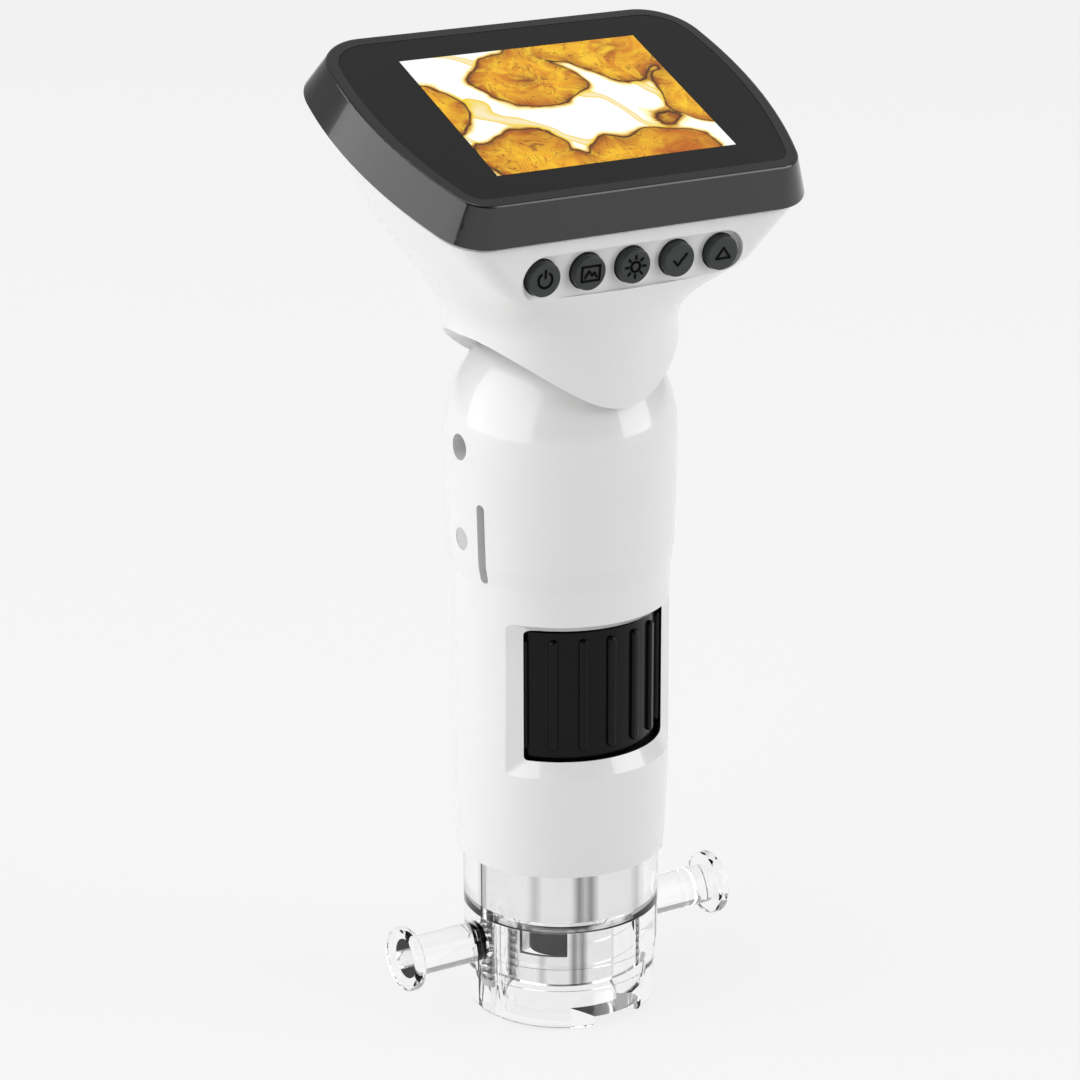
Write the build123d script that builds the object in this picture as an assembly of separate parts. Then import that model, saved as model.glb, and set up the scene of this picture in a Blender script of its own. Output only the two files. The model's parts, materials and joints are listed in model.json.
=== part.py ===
from build123d import *
from math import atan2, cos, degrees, radians, sin, sqrt
import os

# LCD digital microscope, in millimetres. The origin is the centre of the foot's lower face.
# +Z runs up the optical axis, the screen and the buttons face -Y, and +X is to their right.

# ---------------------------------------------------------------- fits and walls
BOND_GAP = 0.02             # glued or pressed joint, per side
RUNNING_GAP = 0.08          # turning or sliding fit, per side
SEAT_GAP = 0.20             # piece laid loosely in a pocket, per side
MOVING_GAP = 0.35           # open space between two bodies that pass each other
WALL = 1.6                  # handle wall
HEAD_WALL = 1.8             # head wall
REACH = 100.0               # cuts that have to leave the object are this long

# ---------------------------------------------------------------- handle skin
SHELL_BASE_R = 16.3
SHELL_BASE_Z = 26.8
GRIP_R = 16.88
GRIP_Z = 45.0
WAIST_R = 16.82
WAIST_Z = 61.0
CREASE_R = 16.98
CREASE_Z = 73.2
STEP_R = 17.5
STEP_Z = 76.2
SHOULDER_Z = 90.0
DOME_R = 17.9
DOME_Z = 94.8
DOME_TOP_Z = 109.5

# ---------------------------------------------------------------- tilting hinge
PIVOT_Z = 94.0
TILT_FORWARD = 30.0
TILT_BACK = 20.0
HINGE_PIN_R = 2.0
HINGE_PIN_LENGTH = 28.0
HINGE_PIN_EDGE = 0.3
HINGE_EYE_R = 5.4
TONGUE_WIDTH = 12.0
TONGUE_DEPTH = 8.0
WASHER_THICKNESS = 0.6
WASHER_R = 4.4
HINGE_BOSS_R = 4.6
TONGUE_SLOT_SPARE_ANGLE = 3.0
SHUTTER_THICKNESS = 1.0
SHUTTER_TRIM_R = 13.8       # outside this radius the shutter ends at the neck's rim
BRACKET_PAD_LENGTH = 19.0
BRACKET_PAD_WIDTH = 13.0
BRACKET_TOP_Z = 115.6
WEB_THICKNESS = 2.0
BRACKET_SCREW_SPACING = 13.0
WIRE_HOLE_R = 2.4
WIRE_HOLE_Y = 10.5

# ---------------------------------------------------------------- head skin
SCREEN_Y = -2.0
SCREEN_Z = 144.6
SCREEN_TILT = 22.7
SIDE_BORDER = 9.6           # black border between the panel and the bezel's edge
FRONT_BORDER = 4.4
REAR_BORDER = 4.5
SCREEN_BULGE_V = 4.2
SCREEN_SIDE_R = 70.0
FRONT_CORNER_R = 5.0
REAR_CORNER_R = 8.5
BEZEL_DEPTH = 5.8
BEZEL_FLARE = 2.45
BEZEL_LIP = 0.8
BEZEL_LIP_INSET = 0.75
BEZEL_EDGE_R = 0.4
BEZEL_RIM = 1.8
BEZEL_LEDGE = 1.25
BEZEL_WALL = 1.6
BEZEL_SKIRT_DEPTH = 0.8
BEZEL_SKIRT_INSET = 1.4
BEZEL_SKIRT_THICKNESS = 1.2
BEZEL_SKIRT_ROOT = 0.6
SEAM_OVERHANG = 0.1
NECK_R = 17.8
NECK_TOP_Z = 113.0
NECK_FOOT_Z = 99.0
NECK_SWEEP = 0.1
SQUARING_RISE = 0.55
NECK_STATIONS = 5
FLARE_STATIONS = 10
OUTLINE_POINTS = 48
RIM_ARC_R = 18.5
RIM_ARC_Z = 93.0
RIM_ARC_FRONT_Y = -1.5
RIM_ARC_REAR_Y = 1.5

# ---------------------------------------------------------------- display stack
GLASS_THICKNESS = 1.1
GLASS_SINK = 0.05
PANEL_WIDTH = 46.8
PANEL_HEIGHT = 35.8
PANEL_THICKNESS = 1.4
TRAY_THICKNESS = 1.8
CONTROL_BOARD_HEIGHT = 33.0
BOARD_THICKNESS = 1.2
CONTROL_POST_R = 1.7
CONTROL_POST_SPACE = 0.5     # between the panel's side and a post
CONTROL_POST_MARGIN_U = 1.3  # from a post's centre to the board's edge
CONTROL_POST_MARGIN_V = 2.3
CONTROL_POST_LENGTH = 2.6
BATTERY_WIDTH = 36.0
BATTERY_HEIGHT = 28.0
BATTERY_THICKNESS = 5.0
BATTERY_ROUND = 1.0
HEAD_CHIP_SPACE = 1.0        # between the battery and a chip
HEAD_CHIP_WIDTH = 5.0
HEAD_CHIP_HEIGHT = 8.0

# ---------------------------------------------------------------- buttons
BUTTON_NAMES = ("button_power", "button_capture", "button_light", "button_confirm", "button_up")
BUTTON_PITCH = 7.65
BUTTON_Z = 123.78
BUTTON_R = 2.65
BUTTON_PROUD = 1.4
BUTTON_CROWN = 0.3
BUTTON_TRAVEL = 0.5
BUTTON_FLANGE_R = 3.2
BUTTON_FLANGE_THICKNESS = 0.7
BUTTON_STEM_R = 1.0
RECESS_WIDTH = 37.8
RECESS_HEIGHT = 7.25
RECESS_DEPTH = 1.1
RECESS_LEAN = 7.0              # how far the recess floor leans out over its foot
RECESS_BACKING = 2.4           # wall behind the recess floor, flat inside for the flanges
RECESS_REACH = 3.0            # how far the recess and its holes are cut either way from the floor
SWITCH_TOP_DEPTH = 4.4
SWITCH_STANDOFF = 0.15
SWITCH_SIZE = 3.2
SWITCH_HEIGHT = 1.6
BUTTON_BOARD_WIDTH = 34.4
BUTTON_BOARD_HEIGHT = 10.8
BUTTON_BOARD_CORNER = 2.5
BUTTON_POST_OFFSET = 3.7
BUTTON_POST_R = 1.3
BUTTON_POST_WALL = 3.4

# ---------------------------------------------------------------- focus window and wheel
WINDOW_HALF_ANGLE = 52.7
WINDOW_BEVEL_ANGLE = 61.5
WINDOW_LOW_Z = 45.7
WINDOW_HIGH_Z = 66.9
WINDOW_LOW_BEVEL = 2.4
WINDOW_HIGH_BEVEL = 1.0
WINDOW_CORNER_R = 1.6
WINDOW_MITRE_R = 1.9         # rounding of the bevel's four mitres
WINDOW_REACH = 2.2           # how far past the skin the bevel is cut, in bevel lengths
WHEEL_R = 14.65
WHEEL_RIB_HEIGHT = 0.65
WHEEL_RIB_SINK = 0.3
WHEEL_RIB_WIDTH = 1.5
WHEEL_RIB_ROUND = 0.45
WHEEL_RIB_LENGTH = 18.0
WHEEL_RIB_COUNT = 20
WHEEL_LOW_Z = 44.95
WHEEL_HIGH_Z = 67.3
WHEEL_EDGE = 1.1
WHEEL_HUB_R = 11.0
WHEEL_HUB_LOW_Z = 50.5
WHEEL_HUB_HIGH_Z = 60.0
WHEEL_WEB_LOW_Z = 53.5
WHEEL_WEB_HIGH_Z = 57.0

# ---------------------------------------------------------------- optics
BARREL_R = 9.0
BARREL_BORE_R = 7.5
BARREL_LOW_Z = 22.0
BARREL_HIGH_Z = 60.0
BARREL_FLOOR = 1.5
BARREL_KEY_WIDTH = 2.0
BARREL_KEY_R = 10.2
BARREL_KEY_LOW_Z = 36.0
BARREL_KEY_HIGH_Z = 40.0
REAR_LENS_Z = 55.0
REAR_LENS_THICKNESS = 3.0
REAR_LENS_BULGE = 0.7
LENS_LEDGE = 0.9
LENS_LEDGE_HEIGHT = 2.0
LENS_RING_THICKNESS = 1.5
NOSE_R = 5.0
NOSE_BORE_R = 3.5
NOSE_LIP_R = 2.8
NOSE_LOW_Z = 9.5
NOSE_LIP = 0.8
NOSE_FLANGE_THICKNESS = 2.0
OBJECTIVE_THICKNESS = 2.0
OBJECTIVE_BULGE = 0.6
SPACER_THICKNESS = 2.0
GUIDE_R = 15.0
GUIDE_SLEEVE_R = 12.4
GUIDE_SLEEVE_WALL = 1.8
GUIDE_SLEEVE_LENGTH = 4.6
SENSOR_SLEEVE_LENGTH = 3.6
SENSOR_FRAME_FLOOR = 2.0
SENSOR_FRAME_RIM_HEIGHT = 1.6
SENSOR_FRAME_R = 15.05
SENSOR_FRAME_WINDOW_R = 6.5
SENSOR_BOARD_R = 13.0
SENSOR_SIZE = 8.0
SENSOR_THICKNESS = 1.3

# ---------------------------------------------------------------- clear base
FOOT_ROUND = 1.7
HOLDER_TOP_Z = 17.0
HOLDER_R = 15.4
HOLDER_BAND_Z = 10.82
HOLDER_RIDGE_Z = 7.0
HOLDER_STEP = 0.25
HOOD_R = 8.5
HOOD_HIGH_Z = 16.6
HOOD_WINDOW_WIDTH = 6.5
HOOD_WINDOW_LOW_Z = 10.9
HOOD_WINDOW_ANGLE = -48.0
FOOT_BORE_R = 9.0
FOOT_BORE_DEPTH = 6.0
CHAMBER_R = 7.9
FOOT_NOTCH_WIDTH = 9.5
FOOT_NOTCH_HEIGHT = 2.2
FOOT_NOTCH_ANGLE = 8.0
PARTING_GAP = 0.05
COLLAR_R = 15.43
COLLAR_SPIGOT_R = 14.65
COLLAR_BORE_R = 13.1
COLLAR_LIP_R = 11.6
COLLAR_LIP = 1.0
COLLAR_TOP_Z = 31.5
COLLAR_BEAD_R = 15.15
COLLAR_BEAD_LOW_Z = 29.2
COLLAR_BEAD_HIGH_Z = 30.6
DIFFUSER_BORE_R = 9.9
DIFFUSER_HEIGHT = 11.4
PIN_Z = 12.54
PIN_R = 3.15
PIN_ROOT_X = 13.95
PIN_HEAD_X = 29.2
PIN_HEAD_R = 5.1
PIN_HEAD_THICKNESS = 2.0
PIN_HEAD_ROUND = 0.6
POST_X = 11.9
POST_R = 1.2
POST_TOP_Z = 38.0
POST_HEAD_R = 1.75
POST_HEAD_LOW_Z = 4.6
POST_HEAD_THICKNESS = 1.2
SPRING_POCKET_R = 2.15
SPRING_LEDGE_Z = 15.4
SPRING_WIRE_R = 0.25
SPRING_R = 1.6
SPRING_TURNS = 7

# ---------------------------------------------------------------- lights and electronics
LED_COUNT = 8
LED_CIRCLE_R = 11.6
LED_SIZE = 2.4
LED_THICKNESS = 1.1
MAIN_BOARD_Y = -4.0
MAIN_BOARD_WIDTH = 25.4
MAIN_BOARD_LOW_Z = 71.6
MAIN_BOARD_HIGH_Z = 87.6
PROCESSOR_X = -4.5
PROCESSOR_Z = 79.5
PROCESSOR_SIZE = 8.0
MEMORY_X = 10.0
MEMORY_Z = 76.5
MEMORY_WIDTH = 4.0
MEMORY_HEIGHT = 5.0
CHIP_THICKNESS = 1.0
CARD_SLOT_LOW_Z = 73.5
CARD_SLOT_HIGH_Z = 86.0
CARD_SLOT_WIDTH = 1.5
CARD_SOCKET_OUTER_X = -14.0
CARD_SOCKET_INNER_X = 0.5
CARD_SOCKET_THICKNESS = 1.6
CARD_SOCKET_SIDE = 0.6       # how far the socket runs past the slot, above and below
CARD_THICKNESS = 0.9
CARD_WIDTH = 11.5
CARD_STOP = 2.0
CHARGE_PORT_Z = 79.5
CHARGE_PORT_WIDTH = 9.0
CHARGE_PORT_THICKNESS = 3.2
CHARGE_PORT_INNER_X = 8.9
CHARGE_PORT_OUTER_X = 16.0
CHARGE_PORT_SHELL = 0.3
CHARGE_PORT_FLOOR = 1.0
CHARGE_TONGUE_THICKNESS = 0.7
CHARGE_TONGUE_SIDE = 1.2     # from the shell's end to the tongue's edge
CHARGE_TONGUE_SETBACK = 0.8
LIGHT_PIPE_R = 1.7
LIGHT_PIPE_Z = 79.5
LIGHT_PIPE_INNER_X = 13.6
LIGHT_PIPE_FLANGE_R = 2.3
LIGHT_PIPE_FLANGE_THICKNESS = 0.8
LIGHT_PIPE_SINK = 0.1        # below the handle's skin
LIGHT_GAP = 0.1              # between the light and its pipe
STATUS_LIGHT_LENGTH = 3.4
STATUS_LIGHT_SIZE = 2.0
STATUS_LIGHT_THICKNESS = 1.6

# ---------------------------------------------------------------- fasteners
SCREW_R = 0.8
SCREW_HEAD_R = 1.7
SCREW_HEAD_THICKNESS = 1.0
SCREW_SLOT_WIDTH = 0.5
SCREW_SLOT_DEPTH = 0.4
SCREW_TIP_GAP = 0.4          # left free in front of a screw's tip
PILLAR_R = 2.3
PILLAR_X = 4.4
PILLAR_HEIGHTS = (74.6, 84.6)
HANDLE_SCREW_LENGTH = 18.0
GUIDE_SCREW_X = 5.5
GUIDE_SCREW_Z = 38.6
GUIDE_SCREW_LENGTH = 6.0
HANDLE_SCREW_SINK = 1.1
GUIDE_SCREW_SINK = 0.15
BOARD_SCREW_LENGTH = 3.2
BRACKET_SCREW_LENGTH = 5.0


# ================================================================ helpers
def rod(radius, low, high, x=0.0, y=0.0):
    """Upright cylinder between two heights."""
    return Pos(x, y, low) * Cylinder(radius, high - low, align=(Align.CENTER, Align.CENTER, Align.MIN))


def tube(outer, inner, low, high):
    """Upright ring between two heights."""
    return rod(outer, low, high) - rod(inner, low, high)


def block(x_low, x_high, y_low, y_high, z_low, z_high):
    """Box between two corners."""
    size = Box(x_high - x_low, y_high - y_low, z_high - z_low, align=(Align.MIN, Align.MIN, Align.MIN))
    return Pos(x_low, y_low, z_low) * size


def cross_rod(radius, x_low, x_high, z, y=0.0):
    """Cylinder along X at a height."""
    bar = Cylinder(radius, x_high - x_low, align=(Align.CENTER, Align.CENTER, Align.MIN))
    return Pos(x_low, y, z) * (Rot(0, 90, 0) * bar)


def peg(frame, radius, low, high, u=0.0, v=0.0):
    """Cylinder along a frame's normal, between two heights above the frame."""
    return frame * rod(radius, low, high, u, v)


def slab(frame, width, height, low, high, u=0.0, v=0.0):
    """Box on a frame, centred at (u, v), between two heights above the frame."""
    return frame * block(u - width / 2, u + width / 2, v - height / 2, v + height / 2, low, high)


def screw(frame, length, u=0.0, v=0.0):
    """Slotted screw: its head stands on the frame and its shank runs down the frame's -normal."""
    body = rod(SCREW_R, -length, 0.0) + rod(SCREW_HEAD_R, 0.0, SCREW_HEAD_THICKNESS)
    slot_floor = SCREW_HEAD_THICKNESS - SCREW_SLOT_DEPTH
    body -= block(-SCREW_HEAD_R, SCREW_HEAD_R, -SCREW_SLOT_WIDTH / 2, SCREW_SLOT_WIDTH / 2,
                  slot_floor, SCREW_HEAD_THICKNESS)
    return frame * (Pos(u, v, 0) * body)


def front_half(shape):
    """The part of a shape in front of the handle's parting plane."""
    return shape & block(-REACH, REACH, -REACH, 0, -REACH, 2 * REACH)


def rear_half(shape):
    """The part of a shape behind the handle's parting plane."""
    return shape & block(-REACH, REACH, 0, REACH, -REACH, 2 * REACH)


# ================================================================ frames of the head
SCREEN_HALF_WIDTH = PANEL_WIDTH / 2 + SIDE_BORDER
SCREEN_FRONT = -PANEL_HEIGHT / 2 - FRONT_BORDER
SCREEN_REAR = PANEL_HEIGHT / 2 + REAR_BORDER
TILT = radians(SCREEN_TILT)
SCREEN_FRAME = Plane(origin=(0, SCREEN_Y, SCREEN_Z), x_dir=(1, 0, 0), z_dir=(0, -sin(TILT), cos(TILT)))
SEAM_W = -(BEZEL_DEPTH + BEZEL_LIP)
SEAM_GROW = BEZEL_FLARE - BEZEL_LIP_INSET - SEAM_OVERHANG
SEAM_CENTRE = SCREEN_FRAME.from_local_coords(Vector(0, 0, SEAM_W))


def screen_outline(grow):
    """Barrel-sided outline of the screen, moved out by grow, in the screen's own plane."""
    side_r = SCREEN_SIDE_R + grow
    hub = SCREEN_HALF_WIDTH - SCREEN_SIDE_R
    front = SCREEN_FRONT - grow
    rear = SCREEN_REAR + grow
    front_u = hub + sqrt(side_r ** 2 - (front - SCREEN_BULGE_V) ** 2)
    rear_u = hub + sqrt(side_r ** 2 - (rear - SCREEN_BULGE_V) ** 2)
    side_u = SCREEN_HALF_WIDTH + grow
    outline = Line((-front_u, front), (front_u, front))
    outline += ThreePointArc((front_u, front), (side_u, SCREEN_BULGE_V), (rear_u, rear))
    outline += Line((rear_u, rear), (-rear_u, rear))
    outline += ThreePointArc((-rear_u, rear), (-side_u, SCREEN_BULGE_V), (-front_u, front))
    face = make_face(outline)
    face = fillet(face.vertices().sort_by(Axis.Y)[:2], FRONT_CORNER_R + grow)
    return fillet(face.vertices().sort_by(Axis.Y)[-2:], REAR_CORNER_R + grow)


def screen_prism(grow, low, high):
    """Straight-sided solid on the screen's outline between two depths."""
    return SCREEN_FRAME * (Pos(0, 0, low) * extrude(screen_outline(grow), high - low))


def screen_flare(grow_low, low, grow_high, high):
    """Solid between two sizes of the screen's outline."""
    lower = SCREEN_FRAME * (Pos(0, 0, low) * screen_outline(grow_low))
    upper = SCREEN_FRAME * (Pos(0, 0, high) * screen_outline(grow_high))
    return loft([lower, upper], ruled=True)


def head_section(rise, inset):
    """Cross-section of the head: neck foot at rise -1, neck top at 0, bezel seam at 1."""
    flare = max(rise, 0.0)
    spread = flare ** 2 * (1 + NECK_SWEEP) / (flare + NECK_SWEEP)
    squaring = min(flare / SQUARING_RISE, 1.0)
    form = squaring ** 2 * (3 - 2 * squaring)
    lean = TILT * flare
    neck_z = NECK_TOP_Z + min(rise, 0.0) * (NECK_TOP_Z - NECK_FOOT_Z)
    centre = Vector(0, 0, neck_z) * (1 - flare) + SEAM_CENTRE * flare
    frame = Plane(origin=centre, x_dir=(1, 0, 0), z_dir=(0, -sin(lean), cos(lean)))
    seam = screen_outline(SEAM_GROW - inset).face().outer_wire()
    ring_r = NECK_R - inset
    half_u = SCREEN_HALF_WIDTH + SEAM_GROW - inset
    points = []
    for step in range(OUTLINE_POINTS):
        rim = seam.position_at(step / OUTLINE_POINTS)
        half_v = (SCREEN_REAR if rim.Y > 0 else -SCREEN_FRONT) + SEAM_GROW - inset
        turn = atan2(rim.Y, rim.X)
        u = cos(turn) * (1 - form) + rim.X / half_u * form
        v = sin(turn) * (1 - form) + rim.Y / half_v * form
        reach_u = ring_r * (1 - spread) + half_u * spread
        reach_v = ring_r * (1 - spread) + half_v * spread
        points.append((u * reach_u, v * reach_v))
    return frame * make_face(Spline(*points, periodic=True))


def head_form(inset):
    """Closed body of the head from the neck to the bezel's seam, its skin moved in by inset."""
    rises = [step / NECK_STATIONS - 1 for step in range(NECK_STATIONS)]
    rises += [step / FLARE_STATIONS for step in range(FLARE_STATIONS + 1)]
    return loft([head_section(rise, inset) for rise in rises])


def neck_rim_cutter():
    """What the neck leaves free for the dome: a front and a rear arc across the neck."""
    front = cross_rod(RIM_ARC_R, -REACH, REACH, RIM_ARC_Z, RIM_ARC_FRONT_Y)
    rear = cross_rod(RIM_ARC_R, -REACH, REACH, RIM_ARC_Z, RIM_ARC_REAR_Y)
    return front + rear


# ================================================================ handle
def handle_form(inset):
    """Closed body of revolution of the handle, its skin moved in by inset."""
    dome_r = DOME_R - inset
    top_z = DOME_TOP_Z - inset
    top_r = sqrt(dome_r ** 2 - (top_z - DOME_Z) ** 2)
    half_turn = atan2(top_z - DOME_Z, top_r) / 2
    middle = (dome_r * cos(half_turn), DOME_Z + dome_r * sin(half_turn))
    base = (SHELL_BASE_R - inset, SHELL_BASE_Z)
    crease = (CREASE_R - inset, CREASE_Z)
    outline = Spline(base, (GRIP_R - inset, GRIP_Z), (WAIST_R - inset, WAIST_Z), crease)
    outline += Polyline(crease, (STEP_R - inset, STEP_Z), (dome_r, SHOULDER_Z), (dome_r, DOME_Z))
    outline += ThreePointArc((dome_r, DOME_Z), middle, (top_r, top_z))
    outline += Polyline((top_r, top_z), (0, top_z), (0, SHELL_BASE_Z), base)
    return revolve(Plane.XZ * make_face(outline), Axis.Z)


WHEEL_RIB_R = WHEEL_R + WHEEL_RIB_HEIGHT
WHEEL_POCKET_R = WHEEL_RIB_R + MOVING_GAP
GUIDE_HIGH_Z = WHEEL_LOW_Z - MOVING_GAP
SENSOR_FRAME_LOW_Z = WHEEL_HIGH_Z + MOVING_GAP


def window_cutter():
    """Opening over the focus wheel with a bevel that runs out through the skin."""
    inner = radians(WINDOW_HALF_ANGLE)
    outer = radians(WINDOW_BEVEL_ANGLE)
    edge = Vector(WHEEL_POCKET_R * sin(inner), -WHEEL_POCKET_R * cos(inner))
    skin = Vector(GRIP_R * sin(outer), -GRIP_R * cos(outer))
    tip = edge + (skin - edge) * WINDOW_REACH
    fan = Polyline((-edge.X, edge.Y), (-tip.X, tip.Y), (-2 * tip.X, -2 * GRIP_R), (2 * tip.X, -2 * GRIP_R),
                   (tip.X, tip.Y), (edge.X, edge.Y), (-edge.X, edge.Y))
    fan_height = WINDOW_HIGH_Z - WINDOW_LOW_Z + 2 * GRIP_R
    fan_prism = Pos(0, 0, WINDOW_LOW_Z - GRIP_R) * extrude(make_face(fan), fan_height)
    out_r = WHEEL_POCKET_R + (GRIP_R - WHEEL_POCKET_R) * WINDOW_REACH
    out_low = WINDOW_LOW_Z - WINDOW_LOW_BEVEL * WINDOW_REACH
    out_high = WINDOW_HIGH_Z + WINDOW_HIGH_BEVEL * WINDOW_REACH
    ring = Polyline((WHEEL_POCKET_R, WINDOW_LOW_Z), (out_r, out_low), (out_r, out_high),
                    (WHEEL_POCKET_R, WINDOW_HIGH_Z), (WHEEL_POCKET_R, WINDOW_LOW_Z))
    bevel = revolve(Plane.XZ * make_face(ring), Axis.Z) & fan_prism
    mitres = []
    for edge_line in bevel.edges():
        start = edge_line.position_at(0)
        end = edge_line.position_at(1)
        climbs = abs(end.Z - start.Z) > WINDOW_HIGH_BEVEL / 2
        runs_out = abs(Vector(end.X, end.Y).length - Vector(start.X, start.Y).length) > WALL / 2
        if climbs and runs_out:
            mitres.append(edge_line)
    bevel = fillet(mitres, WINDOW_MITRE_R)
    opening = Plane.XZ * (Pos(0, (WINDOW_LOW_Z + WINDOW_HIGH_Z) / 2, 0)
                          * RectangleRounded(2 * edge.X, WINDOW_HIGH_Z - WINDOW_LOW_Z, WINDOW_CORNER_R))
    return bevel + extrude(opening, 2 * GRIP_R)


WASHER_FACE_X = TONGUE_WIDTH / 2 + WASHER_THICKNESS
PILLAR_FRONT_Y = MAIN_BOARD_Y
PILLAR_REAR_Y = MAIN_BOARD_Y + BOARD_THICKNESS
CARD_SLOT_Y = MAIN_BOARD_Y - CARD_SOCKET_THICKNESS / 2
CARD_SLOT_Z = (CARD_SLOT_LOW_Z + CARD_SLOT_HIGH_Z) / 2
CHARGE_PORT_Y = MAIN_BOARD_Y - CHARGE_PORT_THICKNESS / 2
HANDLE_SEAT_Y = sqrt(CREASE_R ** 2 - PILLAR_X ** 2) - HANDLE_SCREW_SINK - SCREW_HEAD_THICKNESS
GUIDE_SEAT_Y = sqrt(GRIP_R ** 2 - GUIDE_SCREW_X ** 2) - GUIDE_SCREW_SINK - SCREW_HEAD_THICKNESS


def tongue_slot():
    """Sector cut through the dome, as wide as the tongue's swing."""
    reach = 2 * DOME_R
    spread = degrees(atan2(TONGUE_DEPTH / 2, DOME_R)) + TONGUE_SLOT_SPARE_ANGLE
    forward = radians(TILT_FORWARD + spread)
    back = radians(TILT_BACK + spread)
    centre = (0, PIVOT_Z)
    front_tip = (-reach * sin(forward), PIVOT_Z + reach * cos(forward))
    rear_tip = (reach * sin(back), PIVOT_Z + reach * cos(back))
    sector = make_face(Polyline(centre, front_tip, (0, PIVOT_Z + 1.5 * reach), rear_tip, centre))
    half_width = TONGUE_WIDTH / 2 + WASHER_THICKNESS
    return extrude(Plane.YZ * sector, half_width, both=True)


def side_slot(y, z, length, thickness):
    """Upright stadium section, facing along X."""
    return Plane(origin=(0, y, z), x_dir=(0, 0, 1), z_dir=(1, 0, 0)) * SlotOverall(length, thickness)


def charge_port_profile(shrink):
    """Section of the charging port."""
    return side_slot(CHARGE_PORT_Y, CHARGE_PORT_Z, CHARGE_PORT_WIDTH - 2 * shrink,
                     CHARGE_PORT_THICKNESS - 2 * shrink)


def rear_screw_frame(x, z):
    """Frame of a screw driven from behind the handle towards the front."""
    return Plane(origin=(x, 0, z), x_dir=(1, 0, 0), z_dir=(0, 1, 0))


def handle_screws():
    """Two long screws through the main board and two short ones into the lens guide."""
    screws = []
    for z in PILLAR_HEIGHTS:
        seat = rear_screw_frame(PILLAR_X, z).offset(HANDLE_SEAT_Y)
        screws.append(screw(seat, HANDLE_SCREW_LENGTH))
    for x in (-GUIDE_SCREW_X, GUIDE_SCREW_X):
        seat = rear_screw_frame(x, GUIDE_SCREW_Z).offset(GUIDE_SEAT_Y)
        screws.append(screw(seat, GUIDE_SCREW_LENGTH))
    return screws


def handle_screw_holes():
    """Shank holes and head pockets of the screws that enter from behind."""
    holes = []
    for z in PILLAR_HEIGHTS:
        seat = rear_screw_frame(PILLAR_X, z).offset(HANDLE_SEAT_Y)
        holes.append(peg(seat, SCREW_R + BOND_GAP, -HANDLE_SCREW_LENGTH - SCREW_TIP_GAP, 0.0))
        holes.append(peg(seat, SCREW_HEAD_R + SEAT_GAP, 0.0, REACH))
    for x in (-GUIDE_SCREW_X, GUIDE_SCREW_X):
        seat = rear_screw_frame(x, GUIDE_SCREW_Z).offset(GUIDE_SEAT_Y)
        holes.append(peg(seat, SCREW_R + BOND_GAP, -GUIDE_SCREW_LENGTH - SCREW_TIP_GAP, 0.0))
        holes.append(peg(seat, SCREW_HEAD_R + SEAT_GAP, 0.0, REACH))
    return holes


def pillar(y_low, y_high, z):
    """Round screw pillar along Y."""
    return peg(rear_screw_frame(PILLAR_X, z), PILLAR_R, y_low, y_high)


def handle_shell():
    """Both halves of the handle in one piece, before they are parted."""
    skin = handle_form(0.0)
    shell = skin - handle_form(WALL)
    for side in (-1, 1):
        inner = side * (WASHER_FACE_X + BOND_GAP)
        outer = side * (DOME_R + WALL)
        shell += cross_rod(HINGE_BOSS_R, min(inner, outer), max(inner, outer), PIVOT_Z) & skin
    for z in PILLAR_HEIGHTS:
        shell += pillar(-DOME_R, PILLAR_FRONT_Y, z) & skin
        shell += pillar(0, DOME_R, z) & skin
    shell -= rod(WHEEL_POCKET_R, GUIDE_HIGH_Z, SENSOR_FRAME_LOW_Z)
    shell -= rod(COLLAR_BEAD_R + BOND_GAP, COLLAR_BEAD_LOW_Z - BOND_GAP, COLLAR_BEAD_HIGH_Z + BOND_GAP)
    shell -= window_cutter()
    shell -= tongue_slot()
    shell -= cross_rod(HINGE_PIN_R + BOND_GAP, -REACH, REACH, PIVOT_Z)
    card_slot = side_slot(CARD_SLOT_Y, CARD_SLOT_Z, CARD_SLOT_HIGH_Z - CARD_SLOT_LOW_Z, CARD_SLOT_WIDTH)
    shell -= Pos(CARD_SOCKET_OUTER_X, 0, 0) * extrude(card_slot, -REACH)
    shell -= Pos(CHARGE_PORT_INNER_X, 0, 0) * extrude(charge_port_profile(-SEAT_GAP), REACH)
    shell -= cross_rod(LIGHT_PIPE_R + BOND_GAP, -REACH, 0, LIGHT_PIPE_Z)
    for hole in handle_screw_holes():
        shell -= hole
    return shell


HANDLE_SHELL = handle_shell()


def front_shell():
    return front_half(HANDLE_SHELL)


def rear_shell():
    """Rear half; its screw pillars stand past the parting plane up to the main board."""
    shell = rear_half(HANDLE_SHELL)
    for z in PILLAR_HEIGHTS:
        shell += pillar(PILLAR_REAR_Y, 0, z)
        shell -= peg(rear_screw_frame(PILLAR_X, z), SCREW_R + BOND_GAP, PILLAR_REAR_Y, 0)
    return shell


def hinge_pin():
    half = HINGE_PIN_LENGTH / 2
    pin = cross_rod(HINGE_PIN_R, -half, half, PIVOT_Z)
    return chamfer(pin.edges().filter_by(GeomType.CIRCLE), HINGE_PIN_EDGE)


def friction_washers():
    """One washer each side of the tongue, pinched against the handle's bosses."""
    washers = []
    for side in (-1, 1):
        inner = side * (TONGUE_WIDTH / 2 + BOND_GAP)
        outer = side * WASHER_FACE_X
        low = min(inner, outer)
        high = max(inner, outer)
        washers.append(cross_rod(WASHER_R, low, high, PIVOT_Z)
                       - cross_rod(HINGE_PIN_R + BOND_GAP, low, high, PIVOT_Z))
    return washers


# ================================================================ clear base
COLLAR_LOW_Z = HOLDER_TOP_Z + PARTING_GAP


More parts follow.
